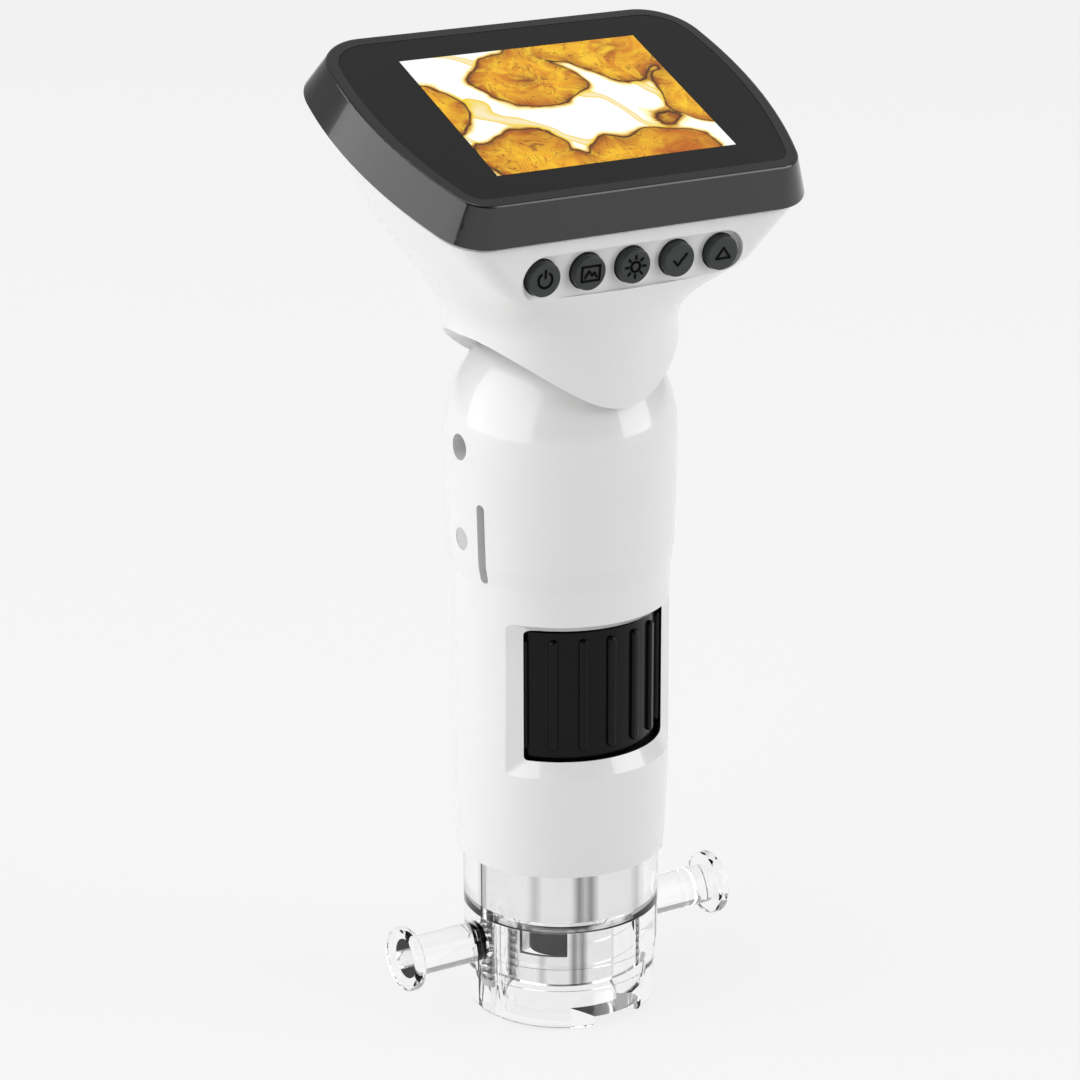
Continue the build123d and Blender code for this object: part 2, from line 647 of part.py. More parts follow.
def clear_collar():
    """Clear ring in the mouth of the handle, with a bead in the handle's groove."""
    ring = rod(COLLAR_R, COLLAR_LOW_Z, SHELL_BASE_Z)
    ring += rod(COLLAR_SPIGOT_R, SHELL_BASE_Z, COLLAR_TOP_Z)
    ring += rod(COLLAR_BEAD_R, COLLAR_BEAD_LOW_Z, COLLAR_BEAD_HIGH_Z)
    ring -= rod(COLLAR_BORE_R, COLLAR_LOW_Z + COLLAR_LIP, COLLAR_TOP_Z)
    ring -= rod(COLLAR_LIP_R, COLLAR_LOW_Z, COLLAR_LOW_Z + COLLAR_LIP)
    for side in (-1, 1):
        ring -= rod(POST_R + RUNNING_GAP, COLLAR_LOW_Z, COLLAR_TOP_Z, side * POST_X)
    return ring


def light_diffuser():
    """White tube that spreads the lights, on the collar's lip."""
    low = COLLAR_LOW_Z + COLLAR_LIP
    ring = tube(COLLAR_BORE_R - BOND_GAP, DIFFUSER_BORE_R, low, low + DIFFUSER_HEIGHT)
    for side in (-1, 1):
        ring -= rod(POST_R + SEAT_GAP, low, low + DIFFUSER_HEIGHT, side * POST_X)
    return ring


def led_board():
    board = tube(COLLAR_SPIGOT_R, BARREL_R + MOVING_GAP, COLLAR_TOP_Z, COLLAR_TOP_Z + BOARD_THICKNESS)
    for side in (-1, 1):
        board -= rod(POST_R + SEAT_GAP, COLLAR_TOP_Z, COLLAR_TOP_Z + BOARD_THICKNESS, side * POST_X)
    return board


def leds():
    """Lights under the light board, spread so that none meets a guide post."""
    lights = []
    half = LED_SIZE / 2
    for step in range(LED_COUNT):
        turn = 360 / LED_COUNT * (step + 0.5)
        light = block(LED_CIRCLE_R - half, LED_CIRCLE_R + half, -half, half,
                      COLLAR_TOP_Z - LED_THICKNESS, COLLAR_TOP_Z)
        lights.append(Rot(0, 0, turn) * light)
    return lights


def guide_posts():
    """Two headed posts that hang from the lens guide and carry the holder's springs."""
    posts = []
    for side in (-1, 1):
        post = rod(POST_R, POST_HEAD_LOW_Z, POST_TOP_Z, side * POST_X)
        post += rod(POST_HEAD_R, POST_HEAD_LOW_Z, POST_HEAD_LOW_Z + POST_HEAD_THICKNESS, side * POST_X)
        posts.append(post)
    return posts


SPRING_LOW_Z = POST_HEAD_LOW_Z + POST_HEAD_THICKNESS


def return_springs():
    """Coil springs between the post heads and the ledges of the holder."""
    coil_height = SPRING_LEDGE_Z - SPRING_LOW_Z - 2 * SPRING_WIRE_R - 2 * BOND_GAP
    pitch = coil_height / SPRING_TURNS
    path = Helix(pitch, coil_height, SPRING_R)
    section = Plane(origin=path @ 0, z_dir=path % 0) * Circle(SPRING_WIRE_R)
    coil = sweep(section, path=path, is_frenet=True)
    lift = SPRING_LOW_Z + SPRING_WIRE_R + BOND_GAP
    return [Pos(side * POST_X, 0, lift) * coil for side in (-1, 1)]


def specimen_holder():
    """Clear sprung foot: a stepped ring with spring pockets, pin sockets and a notched lower edge."""
    low_r = HOLDER_R - HOLDER_STEP
    foot_r = low_r - HOLDER_STEP
    foot = rod(foot_r, 0, HOLDER_RIDGE_Z)
    foot = fillet(foot.edges().filter_by(GeomType.CIRCLE).sort_by(Axis.Z)[:1], FOOT_ROUND)
    ring = foot + rod(low_r, HOLDER_RIDGE_Z, HOLDER_BAND_Z) + rod(HOLDER_R, HOLDER_BAND_Z, HOLDER_TOP_Z)
    ring -= rod(FOOT_BORE_R, 0, FOOT_BORE_DEPTH)
    ring -= rod(HOOD_R + BOND_GAP, 0, HOLDER_TOP_Z)
    for side in (-1, 1):
        ring -= rod(SPRING_POCKET_R, 0, SPRING_LEDGE_Z, side * POST_X)
        ring -= rod(POST_R + RUNNING_GAP, 0, HOLDER_TOP_Z, side * POST_X)
        root = side * PIN_ROOT_X
        mouth = side * (HOLDER_R + WALL)
        ring -= cross_rod(PIN_R + BOND_GAP, min(root, mouth), max(root, mouth), PIN_Z)
    half = FOOT_NOTCH_WIDTH / 2
    notch = block(-half, half, -HOLDER_R - WALL, -CHAMBER_R, 0, FOOT_NOTCH_HEIGHT)
    return ring - Rot(0, 0, FOOT_NOTCH_ANGLE) * notch


def light_hood():
    """Bright tube pressed into the holder from above, down to the step that ends the foot's bore."""
    hood = tube(HOOD_R, CHAMBER_R, FOOT_BORE_DEPTH, HOOD_HIGH_Z)
    half = HOOD_WINDOW_WIDTH / 2
    window = block(-half, half, -HOOD_R - WALL, 0, HOOD_WINDOW_LOW_Z, HOOD_HIGH_Z)
    return hood - Rot(0, 0, HOOD_WINDOW_ANGLE) * window


def flanged_pin(side):
    """Clear pull pin with a rounded head, pressed into the holder's side."""
    root = side * PIN_ROOT_X
    face = side * PIN_HEAD_X
    inner = side * (PIN_HEAD_X - PIN_HEAD_THICKNESS)
    shank = cross_rod(PIN_R, min(root, inner), max(root, inner), PIN_Z)
    head = cross_rod(PIN_HEAD_R, min(face, inner), max(face, inner), PIN_Z)
    head = fillet(head.edges().filter_by(GeomType.CIRCLE), PIN_HEAD_ROUND)
    return shank + head


def left_pin():
    return flanged_pin(-1)


def right_pin():
    return flanged_pin(1)


# ================================================================ optics
GUIDE_LOW_Z = COLLAR_TOP_Z + BOARD_THICKNESS


def lens_guide():
    """Fixed black guide: keyed bore for the barrel, and the lower seat of the focus wheel."""
    guide = rod(GUIDE_R, GUIDE_LOW_Z, GUIDE_HIGH_Z)
    sleeve_top = GUIDE_HIGH_Z + GUIDE_SLEEVE_LENGTH
    guide += rod(GUIDE_SLEEVE_R, GUIDE_HIGH_Z, sleeve_top)
    guide -= rod(BARREL_R + RUNNING_GAP, GUIDE_LOW_Z, sleeve_top)
    key_half = BARREL_KEY_WIDTH / 2 + RUNNING_GAP
    key_reach = BARREL_KEY_R + RUNNING_GAP
    guide -= block(-key_reach, key_reach, -key_half, key_half, GUIDE_LOW_Z, sleeve_top)
    for side in (-1, 1):
        guide -= rod(POST_R + BOND_GAP, GUIDE_LOW_Z, POST_TOP_Z + BOND_GAP, side * POST_X)
    for hole in handle_screw_holes():
        guide -= hole
    return guide


def focus_wheel():
    """Ribbed ring that runs on the guide's sleeve; its hub threads the barrel up and down."""
    rim = chamfer(rod(WHEEL_R, WHEEL_LOW_Z, WHEEL_HIGH_Z).edges().filter_by(GeomType.CIRCLE), WHEEL_EDGE)
    rim -= rod(GUIDE_SLEEVE_R + RUNNING_GAP, WHEEL_LOW_Z, WHEEL_HIGH_Z)
    rim += rod((WHEEL_R + GUIDE_SLEEVE_R) / 2, WHEEL_WEB_LOW_Z, WHEEL_WEB_HIGH_Z)
    rim += rod(WHEEL_HUB_R, WHEEL_HUB_LOW_Z, WHEEL_HUB_HIGH_Z)
    rim -= rod(BARREL_R + RUNNING_GAP, WHEEL_LOW_Z, WHEEL_HIGH_Z)
    middle = (WHEEL_LOW_Z + WHEEL_HIGH_Z) / 2
    face = Plane(origin=(0, -WHEEL_R + WHEEL_RIB_SINK, middle), x_dir=(0, 0, 1), z_dir=(0, -1, 0))
    rib = extrude(face * SlotOverall(WHEEL_RIB_LENGTH, WHEEL_RIB_WIDTH), WHEEL_RIB_HEIGHT + WHEEL_RIB_SINK)
    rib = fillet(rib.faces().sort_by(Axis.Y)[0].edges(), WHEEL_RIB_ROUND)
    for step in range(WHEEL_RIB_COUNT):
        rim += Rot(0, 0, 360 / WHEEL_RIB_COUNT * step) * rib
    return rim


def sensor_frame():
    """Fixed black frame above the wheel; it carries the sensor's board."""
    floor_top = SENSOR_FRAME_LOW_Z + SENSOR_FRAME_FLOOR
    frame = rod(SENSOR_FRAME_R, SENSOR_FRAME_LOW_Z, floor_top)
    frame += tube(SENSOR_FRAME_R, SENSOR_BOARD_R + SEAT_GAP, floor_top, floor_top + SENSOR_FRAME_RIM_HEIGHT)
    frame += tube(GUIDE_SLEEVE_R, GUIDE_SLEEVE_R - GUIDE_SLEEVE_WALL,
                  SENSOR_FRAME_LOW_Z - SENSOR_SLEEVE_LENGTH, SENSOR_FRAME_LOW_Z)
    return frame - rod(SENSOR_FRAME_WINDOW_R, SENSOR_FRAME_LOW_Z, floor_top)


SENSOR_BOARD_Z = SENSOR_FRAME_LOW_Z + SENSOR_FRAME_FLOOR


def sensor_board():
    return rod(SENSOR_BOARD_R, SENSOR_BOARD_Z, SENSOR_BOARD_Z + BOARD_THICKNESS)


def image_sensor():
    half = SENSOR_SIZE / 2
    return block(-half, half, -half, half, SENSOR_BOARD_Z - SENSOR_THICKNESS, SENSOR_BOARD_Z)


def lens_barrel():
    """Sliding tube with two keys; the rear lens and the nose sit in it."""
    barrel = rod(BARREL_R, BARREL_LOW_Z, BARREL_HIGH_Z)
    barrel += block(-BARREL_KEY_R, BARREL_KEY_R, -BARREL_KEY_WIDTH / 2, BARREL_KEY_WIDTH / 2,
                    BARREL_KEY_LOW_Z, BARREL_KEY_HIGH_Z)
    barrel -= rod(BARREL_BORE_R, BARREL_LOW_Z + BARREL_FLOOR, BARREL_HIGH_Z)
    barrel += tube((BARREL_R + BARREL_BORE_R) / 2, BARREL_BORE_R - LENS_LEDGE,
                   REAR_LENS_Z - LENS_LEDGE_HEIGHT, REAR_LENS_Z)
    return barrel - rod(NOSE_R + BOND_GAP, BARREL_LOW_Z, BARREL_LOW_Z + BARREL_FLOOR)


NOSE_TOP_Z = BARREL_LOW_Z + BARREL_FLOOR + NOSE_FLANGE_THICKNESS


def lens_nose():
    """Narrow black nose that carries the objective down towards the specimen."""
    nose = rod(NOSE_R, NOSE_LOW_Z, NOSE_TOP_Z)
    nose += rod(BARREL_BORE_R - BOND_GAP, NOSE_TOP_Z - NOSE_FLANGE_THICKNESS, NOSE_TOP_Z)
    nose -= rod(NOSE_BORE_R, NOSE_LOW_Z + NOSE_LIP, NOSE_TOP_Z)
    return nose - rod(NOSE_LIP_R, NOSE_LOW_Z, NOSE_LOW_Z + NOSE_LIP)


def dome_radius(radius, bulge):
    """Radius of the sphere that rises by bulge across a lens of this radius."""
    return (radius ** 2 + bulge ** 2) / (2 * bulge)


def seated_low(ledge_z, ledge_r, sphere_r):
    """Lowest height of a domed face that rests on a round ledge."""
    return ledge_z + BOND_GAP - (sphere_r - sqrt(sphere_r ** 2 - ledge_r ** 2))


def lens(radius, low, thickness, sphere_r):
    """Round lens with a flat upper face and a domed lower face."""
    ball = Pos(0, 0, low + sphere_r) * Sphere(sphere_r)
    return rod(radius, low, low + thickness) & ball


OBJECTIVE_R = NOSE_BORE_R - BOND_GAP
OBJECTIVE_DOME_R = dome_radius(OBJECTIVE_R, OBJECTIVE_BULGE)
OBJECTIVE_LOW_Z = seated_low(NOSE_LOW_Z + NOSE_LIP, NOSE_LIP_R, OBJECTIVE_DOME_R)
REAR_LENS_R = BARREL_BORE_R - BOND_GAP
REAR_LENS_DOME_R = dome_radius(REAR_LENS_R, REAR_LENS_BULGE)
REAR_LENS_LOW_Z = seated_low(REAR_LENS_Z, BARREL_BORE_R - LENS_LEDGE, REAR_LENS_DOME_R)


def objective_lens():
    return lens(OBJECTIVE_R, OBJECTIVE_LOW_Z, OBJECTIVE_THICKNESS, OBJECTIVE_DOME_R)


def lens_spacer():
    low = OBJECTIVE_LOW_Z + OBJECTIVE_THICKNESS
    return tube(OBJECTIVE_R, NOSE_LIP_R, low, low + SPACER_THICKNESS)


def rear_lens():
    return lens(REAR_LENS_R, REAR_LENS_LOW_Z, REAR_LENS_THICKNESS, REAR_LENS_DOME_R)


def lens_ring():
    low = REAR_LENS_LOW_Z + REAR_LENS_THICKNESS
    return tube(REAR_LENS_R, BARREL_BORE_R - LENS_LEDGE, low, low + LENS_RING_THICKNESS)


# ================================================================ handle electronics
def main_board():
    """Upright board across the upper handle, pinched between the screw pillars."""
    half = MAIN_BOARD_WIDTH / 2
    rear = MAIN_BOARD_Y + BOARD_THICKNESS
    board = block(-half, half, MAIN_BOARD_Y, rear, MAIN_BOARD_LOW_Z, MAIN_BOARD_HIGH_Z)
    for z in PILLAR_HEIGHTS:
        board -= peg(rear_screw_frame(PILLAR_X, z), SCREW_R + SEAT_GAP, PILLAR_FRONT_Y, PILLAR_REAR_Y)
    return board


def board_chips():
    """Processor and memory on the rear face of the main board."""
    face = MAIN_BOARD_Y + BOARD_THICKNESS
    half = PROCESSOR_SIZE / 2
    processor = block(PROCESSOR_X - half, PROCESSOR_X + half, face, face + CHIP_THICKNESS,
                      PROCESSOR_Z - half, PROCESSOR_Z + half)
    memory = block(MEMORY_X - MEMORY_WIDTH / 2, MEMORY_X + MEMORY_WIDTH / 2, face, face + CHIP_THICKNESS,
                   MEMORY_Z - MEMORY_HEIGHT / 2, MEMORY_Z + MEMORY_HEIGHT / 2)
    return [processor, memory]


def card_socket():
    """Metal socket on the front of the main board, open towards the handle's left side."""
    shell = block(CARD_SOCKET_OUTER_X, CARD_SOCKET_INNER_X,
                  MAIN_BOARD_Y - CARD_SOCKET_THICKNESS, MAIN_BOARD_Y,
                  CARD_SLOT_LOW_Z - CARD_SOCKET_SIDE, CARD_SLOT_HIGH_Z + CARD_SOCKET_SIDE)
    mouth = block(CARD_SOCKET_OUTER_X, CARD_SOCKET_INNER_X - CARD_STOP,
                  CARD_SLOT_Y - CARD_THICKNESS / 2, CARD_SLOT_Y + CARD_THICKNESS / 2,
                  CARD_SLOT_Z - CARD_WIDTH / 2, CARD_SLOT_Z + CARD_WIDTH / 2)
    return shell - mouth


def charge_socket():
    """Metal shell of the charging port with its contact tongue."""
    length = CHARGE_PORT_OUTER_X - CHARGE_PORT_INNER_X
    shell = Pos(CHARGE_PORT_INNER_X, 0, 0) * extrude(charge_port_profile(0.0), length)
    floor_x = CHARGE_PORT_INNER_X + CHARGE_PORT_FLOOR
    shell -= Pos(floor_x, 0, 0) * extrude(charge_port_profile(CHARGE_PORT_SHELL), length)
    half = CHARGE_TONGUE_THICKNESS / 2
    reach = CHARGE_PORT_WIDTH / 2 - CHARGE_TONGUE_SIDE
    return shell + block(floor_x, CHARGE_PORT_OUTER_X - CHARGE_TONGUE_SETBACK, CHARGE_PORT_Y - half,
                         CHARGE_PORT_Y + half, CHARGE_PORT_Z - reach, CHARGE_PORT_Z + reach)


def status_light():
    """Side-facing light on the main board, behind the light pipe."""
    face = MAIN_BOARD_Y + BOARD_THICKNESS
    near = -LIGHT_PIPE_INNER_X + LIGHT_GAP
    half = STATUS_LIGHT_SIZE / 2
    return block(near, near + STATUS_LIGHT_THICKNESS, face, face + STATUS_LIGHT_LENGTH,
                 LIGHT_PIPE_Z - half, LIGHT_PIPE_Z + half)


def light_pipe():
    """Milky plug that brings the status light to the left side of the handle."""
    plug = cross_rod(LIGHT_PIPE_R, -REACH, -LIGHT_PIPE_INNER_X, LIGHT_PIPE_Z) & handle_form(LIGHT_PIPE_SINK)
    flange_low = -(CREASE_R - WALL) + LIGHT_GAP
    flange_high = flange_low + LIGHT_PIPE_FLANGE_THICKNESS
    return plug + cross_rod(LIGHT_PIPE_FLANGE_R, flange_low, flange_high, LIGHT_PIPE_Z)


# ================================================================ head
def head_cavity():
    """Hollow of the head, less the web and the button board's posts that stand in it."""
    web_top = BRACKET_TOP_Z + WEB_THICKNESS
    web = rod(SCREEN_HALF_WIDTH, BRACKET_TOP_Z, web_top)
    web -= rod(WIRE_HOLE_R, BRACKET_TOP_Z, web_top, 0, WIRE_HOLE_Y)
    for side in (-1, 1):
        web -= rod(SCREW_R + SEAT_GAP, BRACKET_TOP_Z, web_top, side * BRACKET_SCREW_SPACING / 2)
    cavity = head_form(HEAD_WALL) - web
    backing = extrude(SlotOverall(RECESS_WIDTH, RECESS_HEIGHT), HEAD_WALL + RECESS_BACKING)
    cavity -= BUTTON_FRAME * (Pos(0, 0, -RECESS_BACKING) * backing)
    for u, v in button_post_places():
        cavity -= peg(BUTTON_FRAME, BUTTON_POST_R, -BUTTON_BOARD_DEPTH, HEAD_WALL, u, v)
        cavity += peg(BUTTON_FRAME, SCREW_R + BOND_GAP, -BUTTON_BOARD_DEPTH, -BUTTON_POST_WALL, u, v)
    return cavity


def head_shell():
    """White head: flared shell, neck, inner web and the long button recess with its flat backing."""
    shell = HEAD_SKIN - head_cavity()
    shell -= neck_rim_cutter()
    shell -= BUTTON_FRAME * extrude(SlotOverall(RECESS_WIDTH, RECESS_HEIGHT), RECESS_REACH)
    for x in BUTTON_XS:
        shell -= peg(BUTTON_FRAME, BUTTON_R + SEAT_GAP, -RECESS_REACH, 0.0, x)
    return shell


HEAD_SKIN = head_form(0.0)


def skin_point(z):
    """Point on the middle of the head's front skin at a height."""
    hits = HEAD_SKIN.find_intersection_points(Axis((0, -REACH, z), (0, 1, 0)))
    return min((hit[0] for hit in hits), key=lambda point: point.Y)


def recess_floor():
    """Frame of the flat recess floor, its own depth below the front skin and steeper than the skin."""
    lean = radians(RECESS_LEAN)
    skin = Plane(origin=skin_point(BUTTON_Z), x_dir=(1, 0, 0), z_dir=(0, -cos(lean), -sin(lean)))
    return skin.offset(-RECESS_DEPTH)


BUTTON_FRAME = recess_floor()
BUTTON_COUNT = len(BUTTON_NAMES)
BUTTON_XS = [(step - (BUTTON_COUNT - 1) / 2) * BUTTON_PITCH for step in range(BUTTON_COUNT)]
BUTTON_BOARD_DEPTH = SWITCH_TOP_DEPTH + SWITCH_HEIGHT


def button_post_places():
    """Centres of the button board's four posts, between the buttons, above and below them."""
    places = []
    for u in (-1.5 * BUTTON_PITCH, 1.5 * BUTTON_PITCH):
        for v in (-BUTTON_POST_OFFSET, BUTTON_POST_OFFSET):
            places.append((u, v))
    return places


def button(index):
    """Round cap with a retaining flange and a stem that meets its switch."""
    flange_top = -RECESS_BACKING - RUNNING_GAP
    cap = rod(BUTTON_R, flange_top, BUTTON_PROUD)
    cap = fillet(cap.edges().filter_by(GeomType.CIRCLE).sort_by(Axis.Z)[-1:], BUTTON_CROWN)
    cap += rod(BUTTON_FLANGE_R, flange_top - BUTTON_FLANGE_THICKNESS, flange_top)
    cap += rod(BUTTON_STEM_R, BUTTON_TRAVEL + SWITCH_STANDOFF - SWITCH_TOP_DEPTH, flange_top)
    return BUTTON_FRAME * (Pos(BUTTON_XS[index], 0, 0) * cap)


def button_board():
    outline = Rectangle(BUTTON_BOARD_WIDTH, BUTTON_BOARD_HEIGHT)
    outline = chamfer(outline.vertices(), BUTTON_BOARD_CORNER)
    board = BUTTON_FRAME * (Pos(0, 0, -BUTTON_BOARD_DEPTH) * extrude(outline, -BOARD_THICKNESS))
    for u, v in button_post_places():
        board -= peg(BUTTON_FRAME, SCREW_R + SEAT_GAP, -BUTTON_BOARD_DEPTH - BOARD_THICKNESS,
                     -BUTTON_BOARD_DEPTH, u, v)
    return board


def button_switches():
    return [slab(BUTTON_FRAME, SWITCH_SIZE, SWITCH_SIZE, -BUTTON_BOARD_DEPTH, -SWITCH_TOP_DEPTH, x)
            for x in BUTTON_XS]


PANEL_TOP = -(GLASS_THICKNESS + GLASS_SINK)
TRAY_TOP = PANEL_TOP - PANEL_THICKNESS
LEDGE_W = PANEL_TOP - BEZEL_LEDGE
CONTROL_BOARD_TOP = LEDGE_W - CONTROL_POST_LENGTH
CONTROL_BOARD_BOTTOM = CONTROL_BOARD_TOP - BOARD_THICKNESS
CONTROL_POST_U = PANEL_WIDTH / 2 + CONTROL_POST_SPACE + CONTROL_POST_R
CONTROL_POST_V = CONTROL_BOARD_HEIGHT / 2 - CONTROL_POST_MARGIN_V
CONTROL_BOARD_WIDTH = 2 * (CONTROL_POST_U + CONTROL_POST_MARGIN_U)
HEAD_CHIP_U = BATTERY_WIDTH / 2 + HEAD_CHIP_SPACE + HEAD_CHIP_WIDTH / 2


def control_post_places():
    return [(su * CONTROL_POST_U, sv * CONTROL_POST_V) for su in (-1, 1) for sv in (-1, 1)]


def screen_bezel():
    """Black frame: flared sides, undercut lip, glass rebate and posts for the control board."""
    frame = screen_flare(BEZEL_FLARE, -BEZEL_DEPTH, 0.0, 0.0)
    top_face = frame.faces().sort_by(Axis(SCREEN_FRAME.origin, SCREEN_FRAME.z_dir))[-1]
    frame = fillet(top_face.outer_wire().edges(), BEZEL_EDGE_R)
    frame += screen_flare(BEZEL_FLARE - BEZEL_LIP_INSET, SEAM_W, BEZEL_FLARE, -BEZEL_DEPTH)
    frame -= screen_prism(-BEZEL_RIM, PANEL_TOP, GLASS_THICKNESS)
    frame -= slab(SCREEN_FRAME, PANEL_WIDTH + 2 * SEAT_GAP, PANEL_HEIGHT + 2 * SEAT_GAP, -BEZEL_DEPTH, 0.0)
    frame -= screen_prism(-BEZEL_WALL, SEAM_W, LEDGE_W)
    skirt_low = SEAM_W - BEZEL_SKIRT_DEPTH
    skirt_high = SEAM_W + BEZEL_SKIRT_ROOT
    skirt = screen_prism(-BEZEL_SKIRT_INSET, skirt_low, skirt_high)
    frame += skirt - screen_prism(-BEZEL_SKIRT_INSET - BEZEL_SKIRT_THICKNESS, skirt_low, skirt_high)
    hole_top = CONTROL_BOARD_BOTTOM + BOARD_SCREW_LENGTH + SCREW_TIP_GAP
    for u, v in control_post_places():
        frame += peg(SCREEN_FRAME, CONTROL_POST_R, CONTROL_BOARD_TOP, LEDGE_W + BOND_GAP, u, v)
        frame -= peg(SCREEN_FRAME, SCREW_R + BOND_GAP, CONTROL_BOARD_TOP, hole_top, u, v)
    return frame


def screen_glass():
    return screen_prism(-BEZEL_RIM - GLASS_SINK, -GLASS_SINK - GLASS_THICKNESS, -GLASS_SINK)


def display_panel():
    return slab(SCREEN_FRAME, PANEL_WIDTH, PANEL_HEIGHT, TRAY_TOP, PANEL_TOP)


def backlight_tray():
    return slab(SCREEN_FRAME, PANEL_WIDTH, PANEL_HEIGHT, TRAY_TOP - TRAY_THICKNESS, TRAY_TOP)


def control_board():
    board = slab(SCREEN_FRAME, CONTROL_BOARD_WIDTH, CONTROL_BOARD_HEIGHT,
                 CONTROL_BOARD_BOTTOM, CONTROL_BOARD_TOP)
    for u, v in control_post_places():
        board -= peg(SCREEN_FRAME, SCREW_R + SEAT_GAP, CONTROL_BOARD_BOTTOM, CONTROL_BOARD_TOP, u, v)
    return board


def control_chips():
    return [slab(SCREEN_FRAME, HEAD_CHIP_WIDTH, HEAD_CHIP_HEIGHT, CONTROL_BOARD_BOTTOM - CHIP_THICKNESS,
                 CONTROL_BOARD_BOTTOM, side * HEAD_CHIP_U) for side in (-1, 1)]


def battery():
    pouch = slab(SCREEN_FRAME, BATTERY_WIDTH, BATTERY_HEIGHT, CONTROL_BOARD_BOTTOM - BATTERY_THICKNESS,
                 CONTROL_BOARD_BOTTOM)
    return fillet(pouch.edges().sort_by(Axis.Z)[:4], BATTERY_ROUND)


def board_screws():
    """Screws of the control board and of the button board, all alike."""
    underside = Plane(origin=SCREEN_FRAME.from_local_coords(Vector(0, 0, CONTROL_BOARD_BOTTOM)),
                      x_dir=(1, 0, 0), z_dir=-SCREEN_FRAME.z_dir)
    screws = [screw(underside, BOARD_SCREW_LENGTH, u, -v) for u, v in control_post_places()]
    board_back = BUTTON_FRAME.offset(-BUTTON_BOARD_DEPTH - BOARD_THICKNESS)
    inner_face = Plane(origin=board_back.origin, x_dir=(1, 0, 0), z_dir=-BUTTON_FRAME.z_dir)
    screws += [screw(inner_face, BOARD_SCREW_LENGTH, u, -v) for u, v in button_post_places()]
    return screws


SHUTTER_LOW_R = DOME_R + (DOME_Z - PIVOT_Z) + 2 * MOVING_GAP


def hinge_bracket():
    """Black tongue on the hinge pin, with the pad it is screwed up by and a curved dust shutter."""
    under = cross_rod(SHUTTER_LOW_R, -NECK_R, NECK_R, PIVOT_Z)
    over = cross_rod(SHUTTER_LOW_R + SHUTTER_THICKNESS, -NECK_R, NECK_R, PIVOT_Z)
    shutter = over & rod(NECK_R - HEAD_WALL - SEAT_GAP, NECK_FOOT_Z, BRACKET_TOP_Z)
    shutter -= neck_rim_cutter() & tube(NECK_R, SHUTTER_TRIM_R, PIVOT_Z, BRACKET_TOP_Z)
    pad = block(-BRACKET_PAD_LENGTH / 2, BRACKET_PAD_LENGTH / 2, -BRACKET_PAD_WIDTH / 2,
                BRACKET_PAD_WIDTH / 2, PIVOT_Z, BRACKET_TOP_Z)
    bracket = shutter + pad - under
    half = TONGUE_WIDTH / 2
    bracket += block(-half, half, -TONGUE_DEPTH / 2, TONGUE_DEPTH / 2, PIVOT_Z, BRACKET_TOP_Z)
    bracket += cross_rod(HINGE_EYE_R, -half, half, PIVOT_Z)
    bracket -= cross_rod(HINGE_PIN_R + RUNNING_GAP, -half, half, PIVOT_Z)
    for side in (-1, 1):
        bracket -= rod(SCREW_R + BOND_GAP, BRACKET_TOP_Z - BRACKET_SCREW_LENGTH, BRACKET_TOP_Z,
                       side * BRACKET_SCREW_SPACING / 2)
    return bracket


def bracket_screws():
    top = Plane(origin=(0, 0, BRACKET_TOP_Z + WEB_THICKNESS), x_dir=(1, 0, 0), z_dir=(0, 0, 1))
    return [screw(top, BRACKET_SCREW_LENGTH, side * BRACKET_SCREW_SPACING / 2) for side in (-1, 1)]


# ================================================================ export
PIECES = {
    "front_shell": front_shell,
    "rear_shell": rear_shell,
    "handle_screws": handle_screws,
    "clear_collar": clear_collar,
    "light_diffuser": light_diffuser,
    "led_board": led_board,
    "leds": leds,
    "guide_posts": guide_posts,
    "return_springs": return_springs,
    "specimen_holder": specimen_holder,
    "light_hood": light_hood,
    "left_pin": left_pin,
    "right_pin": right_pin,
    "lens_guide": lens_guide,
    "focus_wheel": focus_wheel,
    "sensor_frame": sensor_frame,
    "sensor_board": sensor_board,
    "image_sensor": image_sensor,
    "lens_barrel": lens_barrel,
    "lens_nose": lens_nose,
    "objective_lens": objective_lens,
    "lens_spacer": lens_spacer,
    "rear_lens": rear_lens,
    "lens_ring": lens_ring,
    "main_board": main_board,
    "board_chips": board_chips,
    "card_socket": card_socket,
    "charge_socket": charge_socket,
    "status_light": status_light,
    "light_pipe": light_pipe,
    "hinge_pin": hinge_pin,
    "friction_washers": friction_washers,
    "head_shell": head_shell,
    "screen_bezel": screen_bezel,
    "screen_glass": screen_glass,
    "display_panel": display_panel,
    "backlight_tray": backlight_tray,
    "control_board": control_board,
    "control_chips": control_chips,
    "battery": battery,
    "button_board": button_board,
    "button_switches": button_switches,
    "board_screws": board_screws,
    "hinge_bracket": hinge_bracket,
    "bracket_screws": bracket_screws,
}


def write(name, made):
    """Export one node, whether it is one solid or a group of alike solids."""
    shape = Compound(children=list(made)) if isinstance(made, list) else made
    export_step(shape, "parts/" + name + ".step")
    print(name)


os.makedirs("parts", exist_ok=True)
for piece_name, maker in PIECES.items():
    write(piece_name, maker())
for place, button_name in enumerate(BUTTON_NAMES):
    write(button_name, button(place))
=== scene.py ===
# %% [markdown]
# # A digital microscope, dressed for its portrait
# The object is a hand-held microscope: a white handle with a black focus wheel, a clear foot with two
# side pins, and a wide head with a small screen and five round buttons. The solid model brings every
# housing, lens and board at full size. What is left for Blender is finish: moulded plastic, clear
# acrylic, bare metal, the lit picture and the raised symbols on the buttons.
# One could model all of it again as a mesh, but then two models would drift apart. So the solids are
# loaded as a fixed frame and only what has no thickness worth machining is added here.

# %% Load the model
import bpy
import json
from math import atan2, cos, degrees, pi, radians, sin
from mathutils import Matrix, Vector


